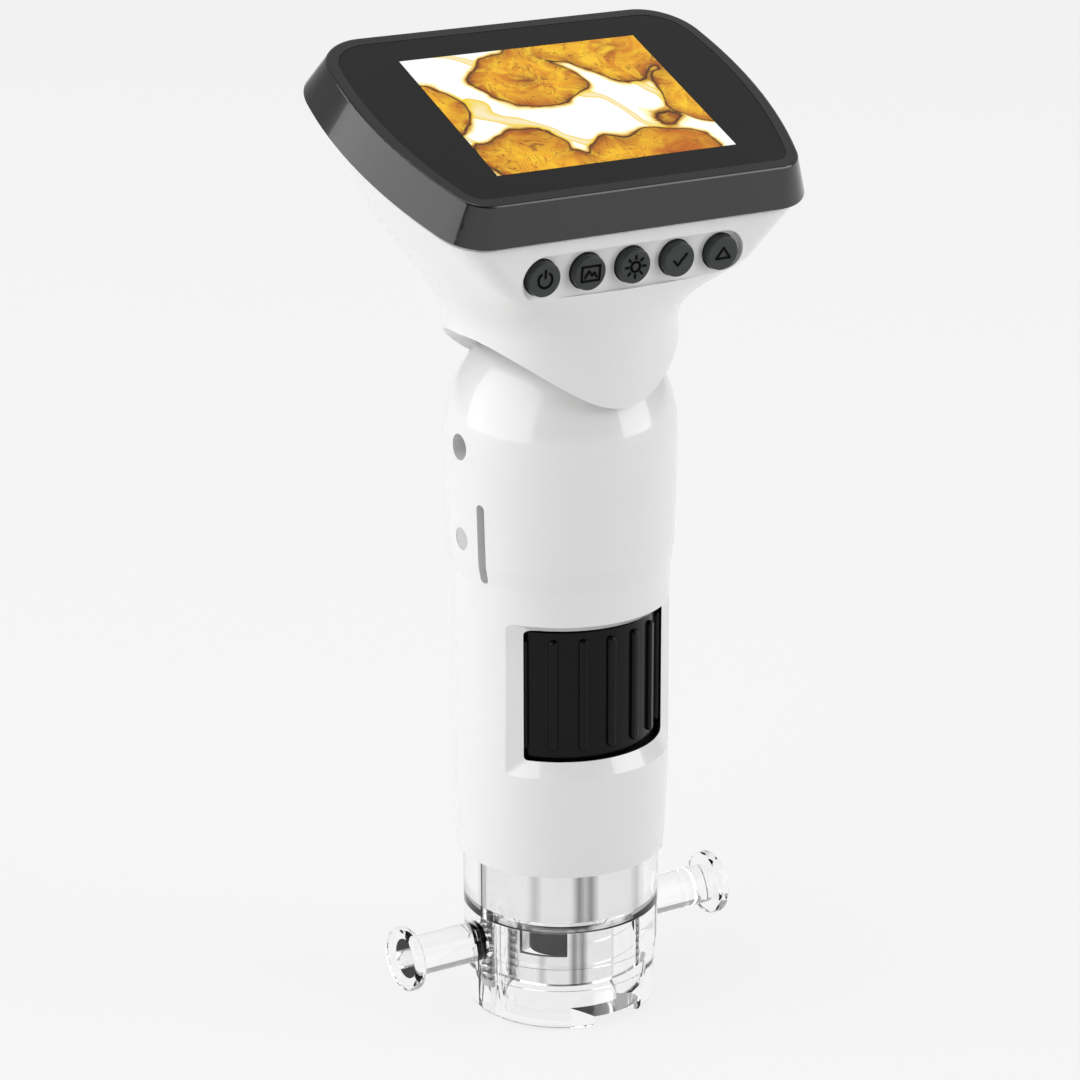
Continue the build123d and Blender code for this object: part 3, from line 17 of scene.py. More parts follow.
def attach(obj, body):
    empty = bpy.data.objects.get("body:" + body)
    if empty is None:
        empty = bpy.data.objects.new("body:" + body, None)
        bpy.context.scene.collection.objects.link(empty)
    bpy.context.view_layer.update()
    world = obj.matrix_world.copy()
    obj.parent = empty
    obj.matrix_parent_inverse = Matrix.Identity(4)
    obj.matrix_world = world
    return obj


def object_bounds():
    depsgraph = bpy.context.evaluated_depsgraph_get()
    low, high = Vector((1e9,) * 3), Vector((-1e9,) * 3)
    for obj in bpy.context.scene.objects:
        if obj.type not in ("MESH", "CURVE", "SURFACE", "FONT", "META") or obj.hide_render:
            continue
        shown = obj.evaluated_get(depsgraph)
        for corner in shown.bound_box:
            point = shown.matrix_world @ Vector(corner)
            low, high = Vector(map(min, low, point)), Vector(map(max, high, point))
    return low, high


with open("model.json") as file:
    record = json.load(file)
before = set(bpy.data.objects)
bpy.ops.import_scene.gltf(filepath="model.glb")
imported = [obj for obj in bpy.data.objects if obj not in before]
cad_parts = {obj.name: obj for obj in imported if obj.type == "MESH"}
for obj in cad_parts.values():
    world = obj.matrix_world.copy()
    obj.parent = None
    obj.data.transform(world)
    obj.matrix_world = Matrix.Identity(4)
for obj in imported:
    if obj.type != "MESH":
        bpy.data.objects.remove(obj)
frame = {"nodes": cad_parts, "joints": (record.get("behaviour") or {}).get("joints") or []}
nodes = frame["nodes"]
cad_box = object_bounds()
MM = 0.001
print("solids:", len(nodes), "box:", [tuple(round(v, 4) for v in corner) for corner in cad_box])

# %% [markdown]
# ## The camera
# A product portrait is taken with a long lens from a little over half a metre, which keeps the handle's
# sides nearly parallel. The camera could be aimed with a constraint, but a plain matrix of its right, up
# and back directions says exactly where the frame's edges fall, so that is what is used.

# %% Camera
eye = Vector((-0.26943, -0.43828, 0.24715))
looks_back = Vector((-0.49199, -0.81150, 0.31530)).normalized()
looks_up = Vector((0.16509, 0.26863, 0.94899))
looks_right = looks_up.cross(looks_back).normalized()
looks_up = looks_back.cross(looks_right)

camera_data = bpy.data.cameras.new("portrait camera")
camera = bpy.data.objects.new("portrait_camera", camera_data)
bpy.context.scene.collection.objects.link(camera)
camera.matrix_world = Matrix((
    (looks_right.x, looks_up.x, looks_back.x, eye.x),
    (looks_right.y, looks_up.y, looks_back.y, eye.y),
    (looks_right.z, looks_up.z, looks_back.z, eye.z),
    (0, 0, 0, 1)))
camera_data.sensor_width = 36
camera_data.lens = 117.52
camera_data.clip_start = 0.01
bpy.context.scene.camera = camera
bpy.context.scene.view_settings.view_transform = "Standard"
print("camera distance in mm:", round(eye.length / MM))

# %% [markdown]
# ## Shader arithmetic
# A finish is mostly a few masks and the sums made of them. In the node editor each sum is a box; in a
# script it reads better as an expression. This class wraps one output socket, so that `1 - grain * 0.2`
# or `grain > 0.5` adds the Math nodes by itself. A group of nodes could be appended from a file instead,
# but then nobody could read what it does.

# %% A socket that does sums
class Mask:
    """One number that varies over a surface, with the arithmetic to combine it."""

    def __init__(self, recipe, socket):
        self.recipe = recipe
        self.socket = socket

    def math(self, operation, other, flipped=False):
        first, second = (other, self) if flipped else (self, other)
        return self.recipe.add("ShaderNodeMath", {"operation": operation}, {0: first, 1: second})

    def __add__(self, other):
        return self.math("ADD", other)

    def __sub__(self, other):
        return self.math("SUBTRACT", other)

    def __rsub__(self, other):
        return self.math("SUBTRACT", other, flipped=True)

    def __mul__(self, other):
        return self.math("MULTIPLY", other)

    def __gt__(self, level):
        return self.math("GREATER_THAN", level)

    def __lt__(self, level):
        return self.math("LESS_THAN", level)

    __radd__ = __add__
    __rmul__ = __mul__


print("a mask takes + - * > < with a mask or a number on the other side")

# %% [markdown]
# ## Recipes and finishes
# Materials and the sky are both trees of nodes. Each node could be made, set and wired in three lines of
# its own, but a tree of twenty then fills a page. One method does all three: settings such as a ramp's
# stops go in first, because they can change the sockets, and then the values or links of its sockets.

# %% One method that adds any node
class Recipe:
    """A tree of shader nodes and the one method that adds to it."""

    def __init__(self, tree):
        self.tree = tree

    def add(self, kind, settings=None, values=None, output=0):
        node = self.tree.nodes.new(kind)
        for key, value in (settings or {}).items():
            if key == "stops":
                set_stops(node.color_ramp, value)
            else:
                setattr(node, key, value)
        for key, value in (values or {}).items():
            self.put(node.inputs[key], value)
        return Mask(self, node.outputs[output])

    def put(self, socket, value):
        if isinstance(value, Mask):
            value = value.socket
        if isinstance(value, bpy.types.NodeSocket):
            self.tree.links.new(value, socket)
        else:
            socket.default_value = value


class Finish(Recipe):
    """A material with its main shader. Named values are fixed at once; feed() adds the varying ones."""

    def __init__(self, name, **fixed):
        self.material = bpy.data.materials.new(name)
        self.material.use_nodes = True
        super().__init__(self.material.node_tree)
        self.shader = self.tree.nodes["Principled BSDF"]
        self.feed(**fixed)

    def feed(self, **inputs):
        for socket, value in inputs.items():
            self.put(self.shader.inputs[socket.replace("_", " ")], value)


def set_stops(ramp, stops):
    while len(ramp.elements) < len(stops):
        ramp.elements.new(0.5)
    for element, (place, colour) in zip(ramp.elements, stops):
        element.position = place
        element.color = (*colour, 1)


print("ready: Recipe for any tree of nodes, Finish for materials")

# %% [markdown]
# ## What the finishes share
# Moulded plastic is never one colour: the melt leaves faint clouds, and the polished steel mould leaves a
# skin with very small ripples. Both come from noise in the object's own coordinates, so they keep their
# size on every piece. An image texture would need unwrapping and would stretch over the head's flare.

# %% Places, clouds, ripples and a tint between two colours
CLOUDS_PER_MM = 0.06


def place_on(finish, kind="Object"):
    return finish.add("ShaderNodeTexCoord", output=kind)


def noise(finish, per_mm, detail=2.0, where=None):
    return finish.add("ShaderNodeTexNoise", {},
                      {"Vector": where or place_on(finish), "Scale": per_mm / MM, "Detail": detail})


def tint(finish, mask, low, high):
    """Colour between two others, each given as three numbers or as the result of other nodes."""
    ends = [(*end, 1) if isinstance(end, tuple) else end for end in (low, high)]
    return finish.add("ShaderNodeMix", {"data_type": "RGBA"}, {0: mask, 6: ends[0], 7: ends[1]}, output=2)


def ripple(finish, height, strength, depth_mm=0.02):
    return finish.add("ShaderNodeBump", {},
                      {"Strength": strength, "Distance": depth_mm * MM, "Height": height})


def moulded(name, low, high, rough, grain, **fixed):
    """Moulded plastic with faint clouds in its colour and in its gloss, and a fine grain.

    rough is the middle roughness and its spread, grain the bumps per millimetre and their strength."""
    roughness, spread = rough
    per_mm, strength = grain
    finish = Finish(name, **fixed)
    clouds = noise(finish, CLOUDS_PER_MM)
    bumps = noise(finish, per_mm, 3.0)
    finish.feed(Base_Color=tint(finish, clouds, low, high),
                Roughness=clouds * spread + (roughness - spread / 2),
                Normal=ripple(finish, bumps, strength))
    return finish.material


print("clouds are about", round(1 / CLOUDS_PER_MM), "mm wide")

# %% [markdown]
# ## The white housing
# Handle and head are one family of glossy white plastic. A bright, hard edge of light runs down the
# handle, which needs a thin, sharp coat over a softer base: one roughness alone gives either a mirror or
# a blur. The white stays below full, so that highlights still show on it.

# %% White plastic
white = moulded("white housing plastic", (0.80, 0.80, 0.795), (0.83, 0.83, 0.825),
                rough=(0.36, 0.08), grain=(0.9, 0.04),
                Coat_Weight=1.0, Coat_Roughness=0.05, Specular_IOR_Level=0.5)
print("made:", white.name, "with", len(white.node_tree.nodes), "nodes")

# %% [markdown]
# ## The blacks
# There are five blacks here and they must not look alike: the bezel is polished, the cover glass is a
# black print under glass, the buttons are satin, the wheel is deeper and glossier than they are, and the
# inner pieces are blackened against stray light. Their colours are close; their gloss is what tells them
# apart. One black for all would be less work, but the parts would run together. The marks on the buttons
# take in nearly all light, so that they read on a dark cap.

# %% Black finishes
bezel_black = moulded("polished black bezel", (0.004, 0.004, 0.005), (0.007, 0.007, 0.008),
                      rough=(0.14, 0.05), grain=(0.5, 0.03),
                      Coat_Weight=0.6, Coat_Roughness=0.03, Specular_IOR_Level=0.45)
glass_black = moulded("black printed cover glass", (0.014, 0.015, 0.014), (0.018, 0.019, 0.018),
                      rough=(0.22, 0.04), grain=(0.15, 0.01), Specular_IOR_Level=0.2)
button_black = moulded("satin button plastic", (0.022, 0.026, 0.026), (0.030, 0.034, 0.034),
                       rough=(0.45, 0.1), grain=(4.0, 0.25), Specular_IOR_Level=0.4)
wheel_black = moulded("satin wheel plastic", (0.002, 0.002, 0.003), (0.004, 0.004, 0.005),
                      rough=(0.20, 0.06), grain=(3.0, 0.08), Specular_IOR_Level=0.16)
inner_black = moulded("blackened inner plastic", (0.012, 0.012, 0.013), (0.020, 0.020, 0.021),
                      rough=(0.6, 0.1), grain=(3.0, 0.3))
symbol_black = moulded("raised button symbol", (0.001, 0.001, 0.001), (0.002, 0.002, 0.002),
                       rough=(0.5, 0.05), grain=(4.0, 0.1), Specular_IOR_Level=0.05)
print("finishes so far:", len(bpy.data.materials))

# %% [markdown]
# ## Clear acrylic
# The foot, the collar and the two pins are water-clear acrylic. It could be faked with a see-through
# shader, but the bright and dark bands that make a clear part readable are refraction, so the light is
# really bent here. It is bent less than in real acrylic, whose index is 1.49: a little less in the foot
# and much less in the pins, because thin round pieces would otherwise go so dark at their edges that they
# stop reading as clear. A little haze in the gloss stands for the moulding and for handling.

# %% Clear plastic and lens glass
def see_through(name, colour, index, haze):
    finish = Finish(name, Transmission_Weight=1.0, IOR=index, Base_Color=(*colour, 1))
    clouds = noise(finish, 0.2)
    finish.feed(Roughness=clouds * haze, Normal=ripple(finish, noise(finish, 0.12), 0.06, 0.05))
    return finish.material


clear = see_through("clear acrylic", (0.99, 0.99, 0.99), index=1.43, haze=0.04)
pin_clear = see_through("clear pin acrylic", (0.99, 0.99, 0.99), index=1.28, haze=0.03)
lens_glass = see_through("coated lens glass", (0.90, 0.95, 0.98), index=1.52, haze=0.01)
print("made:", [material.name for material in (clear, pin_clear, lens_glass)])

# %% [markdown]
# ## Metal
# Screws and posts are turned steel, the springs are drawn wire, the charging
# socket is nickel plated and the battery wears foil. The hinge pin is steel painted dark, as painted shade
# for the deep hole it sits in. Turning leaves fine rings and wiping leaves streaks,
# so the roughness isn't even. A brushed texture could be drawn by hand, but a noise squeezed along one
# axis gives the same streaks.

# %% Turned, drawn and plated metal
def metal(name, low, high, rough):
    """Metal with fine marks across its length; rough is the middle roughness and its spread."""
    roughness, spread = rough
    finish = Finish(name, Metallic=1.0)
    streaks = finish.add("ShaderNodeMapping", {}, {"Vector": place_on(finish), "Scale": (1, 1, 14)})
    marks = noise(finish, 0.8, 3.0, streaks)
    finish.feed(Base_Color=tint(finish, marks, low, high),
                Roughness=marks * spread + (roughness - spread / 2),
                Normal=ripple(finish, marks, 0.15, 0.01))
    return finish.material


steel = metal("turned steel", (0.50, 0.50, 0.51), (0.66, 0.66, 0.67), rough=(0.32, 0.2))
# The hinge pin's dark colour is painted shade for the deep hole around its end.
pin_steel_with_painted_shade = metal("pin steel darkened as painted shade", (0.12, 0.12, 0.125), (0.17, 0.17, 0.175), rough=(0.34, 0.12))
spring_steel = metal("drawn spring wire", (0.66, 0.66, 0.67), (0.80, 0.80, 0.81), rough=(0.24, 0.12))
nickel = metal("nickel plating", (0.62, 0.61, 0.58), (0.74, 0.73, 0.70), rough=(0.2, 0.1))
foil = metal("battery foil", (0.55, 0.56, 0.57), (0.70, 0.71, 0.72), rough=(0.38, 0.2))
print("finishes so far:", len(bpy.data.materials))

# %% [markdown]
# ## The circuit boards
# Boards are hidden unless the part is opened, but a stranger may open it. A board gets green solder mask
# with nearly straight, slightly lighter tracks. They could be drawn one by one. Two banded waves, one for
# each direction and each kept to its own patches by a noise, give runs both ways with no point typed in.

# %% Green board with tracks
def circuit_board():
    finish = Finish("green circuit board")
    place = place_on(finish)
    runs = []
    for direction in ("X", "Z"):
        runs.append(finish.add("ShaderNodeTexWave", {"bands_direction": direction},
                               {"Vector": place, "Scale": 0.22 / MM, "Distortion": 1.5}, output="Fac"))
    patches = noise(finish, 0.25) > 0.5
    tracks = (runs[0] > 0.8) * patches + (runs[1] > 0.8) * (1 - patches)
    finish.feed(Base_Color=tint(finish, tracks, (0.012, 0.10, 0.035), (0.03, 0.17, 0.06)),
                Roughness=tracks * -0.08 + 0.38, Normal=ripple(finish, tracks, 0.4))
    return finish.material


board_green = circuit_board()
print("board nodes:", len(board_green.node_tree.nodes))

# %% [markdown]
# ## The small inner mouldings
# Chips, washers, lamps, the light pipe and the card socket are plain mouldings, each with its own colour
# and grain. They need no recipe of their own: the one for the housing does, with other numbers.

# %% Chip, fibre, lamp, light pipe, socket and diffuser
chip_black = moulded("chip body", (0.012, 0.012, 0.012), (0.022, 0.022, 0.022),
                     rough=(0.55, 0.1), grain=(5.0, 0.3))
fibre = moulded("pressed fibre", (0.20, 0.13, 0.07), (0.32, 0.22, 0.13),
                rough=(0.8, 0.1), grain=(2.0, 0.6))
lamp = moulded("lamp body", (0.80, 0.76, 0.55), (0.86, 0.82, 0.62),
               rough=(0.4, 0.1), grain=(3.0, 0.2))
smoky = moulded("smoky light pipe", (0.50, 0.51, 0.50), (0.56, 0.57, 0.56),
                rough=(0.35, 0.1), grain=(2.0, 0.1))
socket_grey = moulded("pale grey socket plastic", (0.55, 0.55, 0.55), (0.62, 0.62, 0.62),
                      rough=(0.5, 0.1), grain=(2.0, 0.1))
milky = moulded("milky diffuser", (0.83, 0.83, 0.81), (0.88, 0.88, 0.86),
                rough=(0.6, 0.1), grain=(2.0, 0.15))
print("finishes so far:", len(bpy.data.materials))

# %% [markdown]
# ## The reflector behind the clear foot
# Two bright rings stand behind the clear acrylic and throw the lamps' light down on the specimen. Their
# colour carries upright grey stripes, and these are painted shade: they sit at fixed turns round the axis,
# and the darkest pair is just right of the front, where the camera sees the dark strip of the inner
# cylinder through the foot. The stripes could be cut into the mesh as facets, but they are too shallow to
# change its shape. So a ramp round the axis places them: 0 is the left, and 0.75 is the front.

# %% Reflector with painted shade stripes
# Bright tones of the reflector, with grey stops that are painted shade at fixed turns round the axis.
REFLECTOR_RAMP_WITH_PAINTED_SHADE = [(0.00, 0.93), (0.10, 0.50), (0.12, 0.93), (0.24, 0.60), (0.26, 0.94), (0.38, 0.90), (0.40, 0.62),
          (0.42, 0.95), (0.55, 0.92), (0.565, 0.55), (0.58, 0.95), (0.668, 0.93), (0.68, 0.60), (0.70, 0.93),
          (0.766, 0.95), (0.782, 0.26), (0.793, 0.60), (0.804, 0.24), (0.818, 0.92), (0.87, 0.93),
          (0.885, 0.60), (0.90, 0.95)]


def reflector_with_painted_shade():
    finish = Finish("reflector with painted shade stripes", Metallic=0.8)
    place = place_on(finish)
    across, deep = [finish.add("ShaderNodeSeparateXYZ", {}, {0: place}, output=axis) for axis in "XY"]
    turn = (-1 * deep).math("ARCTAN2", across) * (0.5 / pi) + 0.5
    # The ramp paints the shade stripes into the reflector's colour.
    tones_with_painted_shade = finish.add("ShaderNodeValToRGB", {"stops": [(at, (tone, tone, tone)) for at, tone in REFLECTOR_RAMP_WITH_PAINTED_SHADE]},
                        {"Fac": turn})
    finish.feed(Base_Color=tones_with_painted_shade, Roughness=noise(finish, 0.4) * 0.08 + 0.14)
    return finish.material


reflector = reflector_with_painted_shade()
print("reflector ramp stops:", len(REFLECTOR_RAMP_WITH_PAINTED_SHADE))

# %% [markdown]
# ## Giving each solid its finish
# Each solid arrives with a plain placeholder. Its shape is right, so only the material in its slots is
# swapped. A table by finish keeps the list readable and makes a forgotten solid easy to spot.

# %% Dress the solids
finishes = {
    white: ["front_shell", "rear_shell", "head_shell"],
    bezel_black: ["screen_bezel"],
    glass_black: ["screen_glass"],
    button_black: ["button_power", "button_capture", "button_light", "button_confirm", "button_up"],
    wheel_black: ["focus_wheel"],
    inner_black: ["hinge_bracket", "lens_guide", "sensor_frame", "lens_barrel", "lens_nose", "lens_spacer",
                  "lens_ring"],
    clear: ["clear_collar", "specimen_holder"],
    pin_clear: ["left_pin", "right_pin"],
    lens_glass: ["objective_lens", "rear_lens"],
    steel: ["handle_screws", "board_screws", "bracket_screws", "guide_posts"],
    pin_steel_with_painted_shade: ["hinge_pin"],
    spring_steel: ["return_springs"],
    nickel: ["charge_socket"],
    socket_grey: ["card_socket"],
    foil: ["battery"],
    board_green: ["led_board", "sensor_board", "main_board", "control_board", "button_board"],
    chip_black: ["image_sensor", "board_chips", "control_chips", "button_switches"],
    fibre: ["friction_washers"],
    lamp: ["leds", "status_light"],
    milky: ["backlight_tray", "display_panel"],
    smoky: ["light_pipe"],
    reflector: ["light_diffuser", "light_hood"],
}
dressed = []
for material, names in finishes.items():
    for name in names:
        for material_slot in nodes[name].material_slots:
            material_slot.material = material
        dressed.append(name)
print("dressed:", len(dressed), "left plain:", sorted(set(nodes) - set(dressed)))

# %% [markdown]
# ## Small flat shapes
# The symbols and the picture are thin plates. A curve with a bevel would do for a stroke, but it would be
# as round as a wire. A flat ribbon with square ends is easy to build directly: one helper offsets a line
# both ways and another gives a flat outline some height.

# %% Plates and ribbons
def plate(name, outlines, height):
    """Closed plates of one height from flat outlines in metres, standing on z = 0."""
    points, faces = [], []
    for outline in outlines:
        count, start = len(outline), len(points)
        points += [(x, y, 0) for x, y in outline] + [(x, y, height) for x, y in outline]
        faces.append([start + count + i for i in range(count)])
        faces.append([start + count - 1 - i for i in range(count)])
        for i in range(count):
            j = (i + 1) % count
            faces.append([start + i, start + j, start + count + j, start + count + i])
    mesh = bpy.data.meshes.new(name)
    mesh.from_pydata(points, [], faces)
    mesh.update()
    piece = bpy.data.objects.new(name, mesh)
    bpy.context.scene.collection.objects.link(piece)
    return piece


def rectangle(width, height):
    x, y = width / 2, height / 2
    return [(-x, -y), (x, -y), (x, y), (-x, y)]


def ribbon(points, width):
    """Outlines of the straight strips that follow a line of points."""
    strips = []
    for (x0, y0), (x1, y1) in zip(points, points[1:]):
        along = Vector((x1 - x0, y1 - y0)).normalized() * width / 2
        side = Vector((-along.y, along.x))
        a, b = Vector((x0, y0)) - along * 0.6, Vector((x1, y1)) + along * 0.6
        strips.append([tuple(a - side), tuple(b - side), tuple(b + side), tuple(a + side)])
    return strips


def arc(radius, start, end, steps=16):
    turns = [start + (end - start) * i / steps for i in range(steps + 1)]
    return [(radius * cos(radians(turn)), radius * sin(radians(turn))) for turn in turns]


print("a full ring is drawn in", len(arc(1, 0, 360)) - 1, "strips")

# %% [markdown]
# ## Finding where a cap ends
# The symbols must sit on the caps wherever the model puts them. The press direction is in the joint list,
# and the cap's top is the ring of points furthest against it, so both are measured, not typed in.

# %% Place a plate on a face
def face_frame(node, outward):
    """Matrix whose z is outward and whose origin is the middle of the node's outermost face."""
    reach = [(vertex.co.dot(outward), vertex.co) for vertex in nodes[node].data.vertices]
    furthest = max(distance for distance, point in reach)
    top = [point for distance, point in reach if distance > furthest - 0.02 * MM]
    low = Vector([min(p[i] for p in top) for i in range(3)])
    high = Vector([max(p[i] for p in top) for i in range(3)])
    across = Vector((1, 0, 0))
    along = outward.cross(across).normalized()
    matrix = Matrix((across, along, outward)).transposed().to_4x4()
    matrix.translation = (low + high) / 2
    return matrix


joints = {joint["name"]: joint for joint in frame["joints"]}
press = Vector(joints["press_power"]["axis"]).normalized()
print("buttons are pressed along", [round(v, 3) for v in press])

# %% [markdown]
# ## The five symbols
# Power, still picture, light, confirm and up: each is a common sign for its action, raised a tenth of a
# millimetre like a moulded mark. They could be painted on with a mask in the cap's finish, but a raised
# mark has a clean edge at any distance and can be moved with its cap.

# %% Symbol outlines, in millimetres
def mm(points):
    return [(x * MM, y * MM) for x, y in points]


def ray(turn):
    """Short stroke of the light sign, from 1.2 to 1.7 mm out."""
    return mm([(reach * cos(radians(turn)), reach * sin(radians(turn))) for reach in (1.2, 1.7)])


strokes = {
    "power": [mm(arc(1.15, 125, 415)), mm([(0, 0.3), (0, 1.5)])],
    "capture": [mm([(-1.5, -1.1), (1.5, -1.1), (1.5, 1.1), (-1.5, 1.1), (-1.5, -1.1)]),
                mm([(-1.0, -0.6), (-0.3, 0.4), (0.2, -0.3), (0.6, 0.1), (1.0, -0.6)])],
    "light": [mm(arc(0.75, 0, 360))] + [ray(turn) for turn in range(0, 360, 45)],
    "confirm": [mm([(-1.0, 0.0), (-0.3, -0.8), (1.2, 0.9)])],
    "up": [mm([(-1.2, -0.7), (0.0, 0.9), (1.2, -0.7), (-1.2, -0.7)])],
}
print("strokes:", {name: len(lines) for name, lines in strokes.items()})

# %% [markdown]
# ## Raising the symbols
# Each stroke becomes a ribbon of one width, and all ribbons of a sign become one mesh. Five meshes could
# be joined into one, but each has to sink with its own button, so each rides on that button.

# %% Set the symbols on their buttons
LINE = 0.34 * MM
RAISED = 0.1 * MM
for name, lines in strokes.items():
    mark = plate("symbol_" + name, [strip for line in lines for strip in ribbon(line, LINE)], RAISED)
    mark.matrix_world = face_frame("button_" + name, -press)
    mark.data.materials.append(symbol_black)
    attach(mark, "button_" + name)
    print(mark.name, "has", len(mark.data.polygons), "faces")

# %% [markdown]
# ## The lit picture's plate
# A switched-on display is a lamp that happens to show a picture, seen in the cover glass. The glass solid
# is printed black all over, so the picture is a thin film of its own just over it, straight above the
# panel. Cutting the glass open would show the panel itself, but would change the solid.

# %% Picture plate
SCREEN_TILT = radians(22.7)
PICTURE_WIDTH, PICTURE_HEIGHT = 40.8 * MM, 30.6 * MM
FILM_PROUD = 0.005 * MM
screen_normal = Vector((0, -sin(SCREEN_TILT), cos(SCREEN_TILT)))
picture = plate("lit_picture", [rectangle(PICTURE_WIDTH, PICTURE_HEIGHT)], 0.02 * MM)
glass_top = face_frame("screen_glass", screen_normal)
picture_place = face_frame("display_panel", screen_normal)
lift = (glass_top.translation - picture_place.translation).dot(screen_normal)
picture_place.translation += screen_normal * (lift + FILM_PROUD)
picture.matrix_world = picture_place
sheet = picture.data.uv_layers.new(name="picture")
for loop in picture.data.loops:
    corner = picture.data.vertices[loop.vertex_index].co
    sheet.data[loop.index].uv = (corner.x / PICTURE_WIDTH + 0.5, corner.y / PICTURE_HEIGHT + 0.5)
print("picture lies", round(lift / MM, 2), "mm above the panel")

# %% [markdown]
# ## What the picture shows
# The picture is an invented amber preparation under transmitted light: rounded bodies with dark rims, and
# a few thin fibres. An image file would do it in one node. Cells that are bent by a noise do it without
# one and never show their pixels: the distance to a cell's middle runs through a ramp from brown over
# amber to a thin dark rim and then white. Folds, older patches and yellow fibres are laid over that.

# %% Picture ground: bent cells
AMBER = [(0.00, (0.10, 0.018, 0.001)), (0.08, (0.30, 0.07, 0.002)), (0.19, (0.66, 0.22, 0.004)),
         (0.33, (0.86, 0.40, 0.008)), (0.44, (0.50, 0.15, 0.003)), (0.480, (0.05, 0.010, 0.001)),
         (0.492, (0.70, 0.34, 0.02)), (0.51, (1.0, 0.93, 0.45)), (0.535, (1.0, 1.0, 1.0))]


def bent_sheet(finish):
    """The sheet's own coordinates, in true proportion and pulled about by a slow noise."""
    wide = finish.add("ShaderNodeMapping", {}, {
        "Vector": place_on(finish, "UV"), "Scale": (1.33, 1.0, 1.0), "Location": (0.62, 0.34, 0)})
    warp = finish.add("ShaderNodeTexNoise", {}, {"Vector": wide, "Scale": 2.6, "Detail": 2.0},
                      output="Color")
    return finish.add("ShaderNodeMix", {"data_type": "VECTOR"}, {0: 0.22, 4: wide, 5: warp}, output=1)


print("stops from brown to white:", len(AMBER))

# %% [markdown]
# ## Laying the picture's parts over each other
# Each layer is a mask and a colour, and `tint` lays it over the ones before. Painting them as one ramp
# would be shorter, but then a fold could not cross a body at an angle of its own.

# %% Picture material
def lit_picture():
    finish = Finish("lit amber preparation", Roughness=0.12, Specular_IOR_Level=0.35,
                    Base_Color=(0.01, 0.01, 0.01, 1), Emission_Strength=1.0)
    bent = bent_sheet(finish)
    cells = finish.add("ShaderNodeTexVoronoi", {"feature": "SMOOTH_F1"},
                       {"Vector": bent, "Scale": 2.5, "Smoothness": 0.08, "Randomness": 1.0})
    flesh = finish.add("ShaderNodeTexNoise", {},
                       {"Vector": bent, "Scale": 9.0, "Detail": 5.0, "Distortion": 1.6})
    body = cells * 0.86 + (flesh - 0.5) * 0.05
    inside = body < 0.47
    ground = finish.add("ShaderNodeValToRGB", {"stops": AMBER}, {"Fac": body})
    bright_flesh = (flesh > 0.42) * (flesh - 0.42) * inside * 3.2
    layers = tint(finish, bright_flesh, ground, (0.98, 0.62, 0.02))
    age = finish.add("ShaderNodeTexNoise", {}, {"Vector": bent, "Scale": 2.2, "Detail": 1.0})
    layers = tint(finish, (age > 0.47) * (age - 0.47) * inside * 5.0, layers, (0.50, 0.11, 0.002))
    folds = finish.add("ShaderNodeTexNoise", {},
                       {"Vector": bent, "Scale": 6.0, "Detail": 3.0, "Distortion": 2.5})
    crease = (folds > 0.495) * (folds < 0.515) * inside
    layers = tint(finish, crease * 0.6, layers, (0.18, 0.035, 0.001))
    bands = finish.add("ShaderNodeTexWave", {"bands_direction": "DIAGONAL"}, {
        "Vector": bent, "Scale": 1.7, "Distortion": 5.0, "Detail": 1.5, "Detail Scale": 1.3}, output="Fac")
    fibres = (bands > 0.90) * (body > 0.49) * (1.0 - (bands - 0.90) * 5.0)
    finish.feed(Emission_Color=tint(finish, fibres, layers, (0.90, 0.64, 0.01)))
    return finish.material


picture.data.materials.append(lit_picture())
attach(picture, "head")
print("picture nodes:", len(picture.data.materials[0].node_tree.nodes))

# %% [markdown]
# ## The floor
# A portrait on a pale sweep needs the floor to be one even tone, yet the object must still stand on it.
# So the camera, mirrors and clear parts see mostly an even glow of that tone, mixed with a little of the
# plain floor underneath, which carries the shadow. Everything else sees the plain floor.

# %% Floor
GLOW_SHARE = 0.86
FLOOR_SIDE, FLOOR_DEPTH = 60, 0.01


def pale_floor():
    finish = Finish("pale floor", Base_Color=(0.85, 0.85, 0.85, 1), Roughness=0.9, Specular_IOR_Level=0.1)
    camera_ray, glossy_ray, clear_ray = [finish.add("ShaderNodeLightPath", output=kind) for kind in (
        "Is Camera Ray", "Is Glossy Ray", "Is Transmission Ray")]
    plain = (camera_ray + glossy_ray + clear_ray) < 0.5
    glow = finish.add("ShaderNodeEmission", {}, {"Color": (0.945, 0.95, 0.945, 1), "Strength": 1.0})
    mixed = finish.add("ShaderNodeMixShader", {},
                       {0: (1 - plain) * GLOW_SHARE, 1: finish.shader.outputs[0], 2: glow})
    finish.put(finish.tree.nodes["Material Output"].inputs["Surface"], mixed)
    return finish.material


floor = plate("studio_floor", [rectangle(FLOOR_SIDE, FLOOR_SIDE)], FLOOR_DEPTH)
floor.location = (0, 0, cad_box[0][2] - FLOOR_DEPTH)
floor.data.materials.append(pale_floor())
print("floor top at z =", round(floor.location.z + FLOOR_DEPTH, 4))

# %% [markdown]
# ## The soft boxes
# White on white is modelled by what is left dark. Two large soft boxes stand left and right and a third
# hangs above; no lamp stands near the camera, so the handle darkens towards its middle and each box
# leaves a clean edge in the gloss. Spot lamps would leave hard shadows between the pieces.

# %% Lamps
MIDDLE = Vector((0, 0, 0.08))


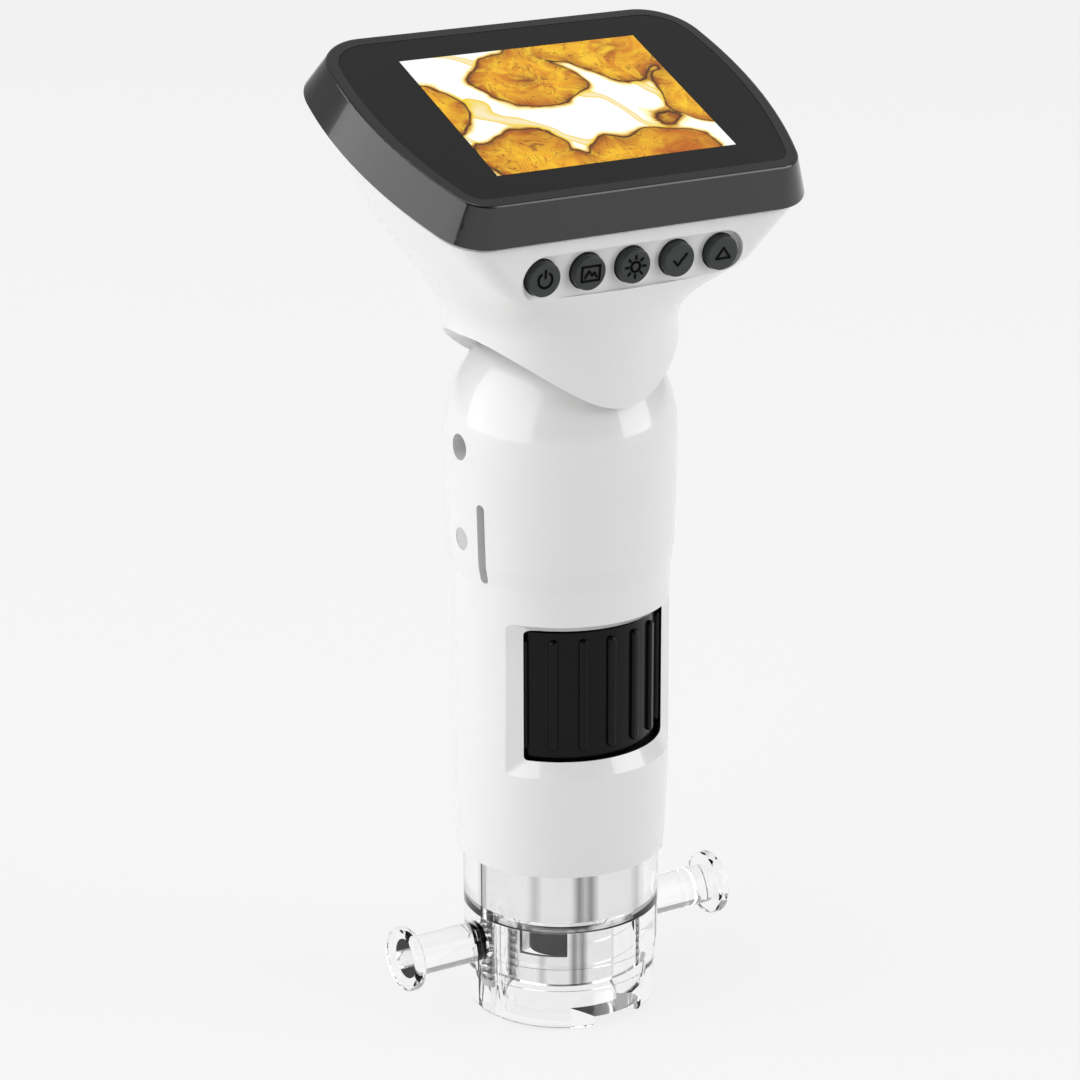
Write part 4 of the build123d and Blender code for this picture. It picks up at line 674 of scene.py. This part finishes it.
def soft_box(name, azimuth, elevation, distance, width, height, brightness):
    """Area lamp aimed at the object's middle; brightness is that of its face."""
    data = bpy.data.lights.new(name, "AREA")
    data.shape = "RECTANGLE"
    data.size, data.size_y = width, height
    data.energy = brightness * width * height * pi
    box = bpy.data.objects.new(name, data)
    bpy.context.scene.collection.objects.link(box)
    a, e = radians(azimuth), radians(elevation)
    away = Vector((sin(a) * cos(e), -cos(a) * cos(e), sin(e)))
    box.location = MIDDLE + away * distance
    box.rotation_mode = "QUATERNION"
    box.rotation_quaternion = away.to_track_quat("Z", "Y")
    print(name, "at", [round(v, 2) for v in box.location])


camera_azimuth = degrees(atan2(eye.x, -eye.y))
soft_box("right_soft_box", azimuth=camera_azimuth + 80, elevation=10, distance=1.2,
         width=0.8, height=1.7, brightness=2.7)
soft_box("left_soft_box", azimuth=camera_azimuth - 66, elevation=14, distance=1.2,
         width=1.9, height=1.9, brightness=1.85)
soft_box("top_soft_box", azimuth=camera_azimuth - 20, elevation=80, distance=1.3,
         width=0.9, height=0.9, brightness=1.2)

# %% [markdown]
# ## The sky and its flag
# The sky fills in the rest evenly. A studio hangs a black cloth, called a flag, where a white object has
# to show a darker strip. Here the flag is a soft dark patch in the sky behind the camera. A black card
# could be stood there as a mesh, but it would hide the object from further back. The patch hides nothing.

# %% Sky
FLAG_LIFT = 0.15
FLAG_EDGE, FLAG_MIDDLE = 0.45, 0.95


def sky_with_flag(azimuth, bright, dark):
    """Even world that darkens softly towards one direction, that of the flag."""
    sky = bpy.data.worlds.new("studio sky")
    sky.use_nodes = True
    recipe = Recipe(sky.node_tree)
    a = radians(azimuth)
    along = recipe.add("ShaderNodeVectorMath", {"operation": "DOT_PRODUCT"},
                       {0: place_on(recipe, "Generated"), 1: (sin(a), -cos(a), FLAG_LIFT)}, output="Value")
    spread = recipe.add("ShaderNodeMapRange", {"interpolation_type": "SMOOTHSTEP"}, {
        "Value": along, "From Min": FLAG_EDGE, "From Max": FLAG_MIDDLE, "To Min": bright, "To Max": dark})
    recipe.put(sky.node_tree.nodes["Background"].inputs["Color"], spread)
    bpy.context.scene.world = sky


flag_azimuth = camera_azimuth + 14
sky_with_flag(flag_azimuth, bright=0.39, dark=0.02)
print("flag at azimuth", round(flag_azimuth, 1))
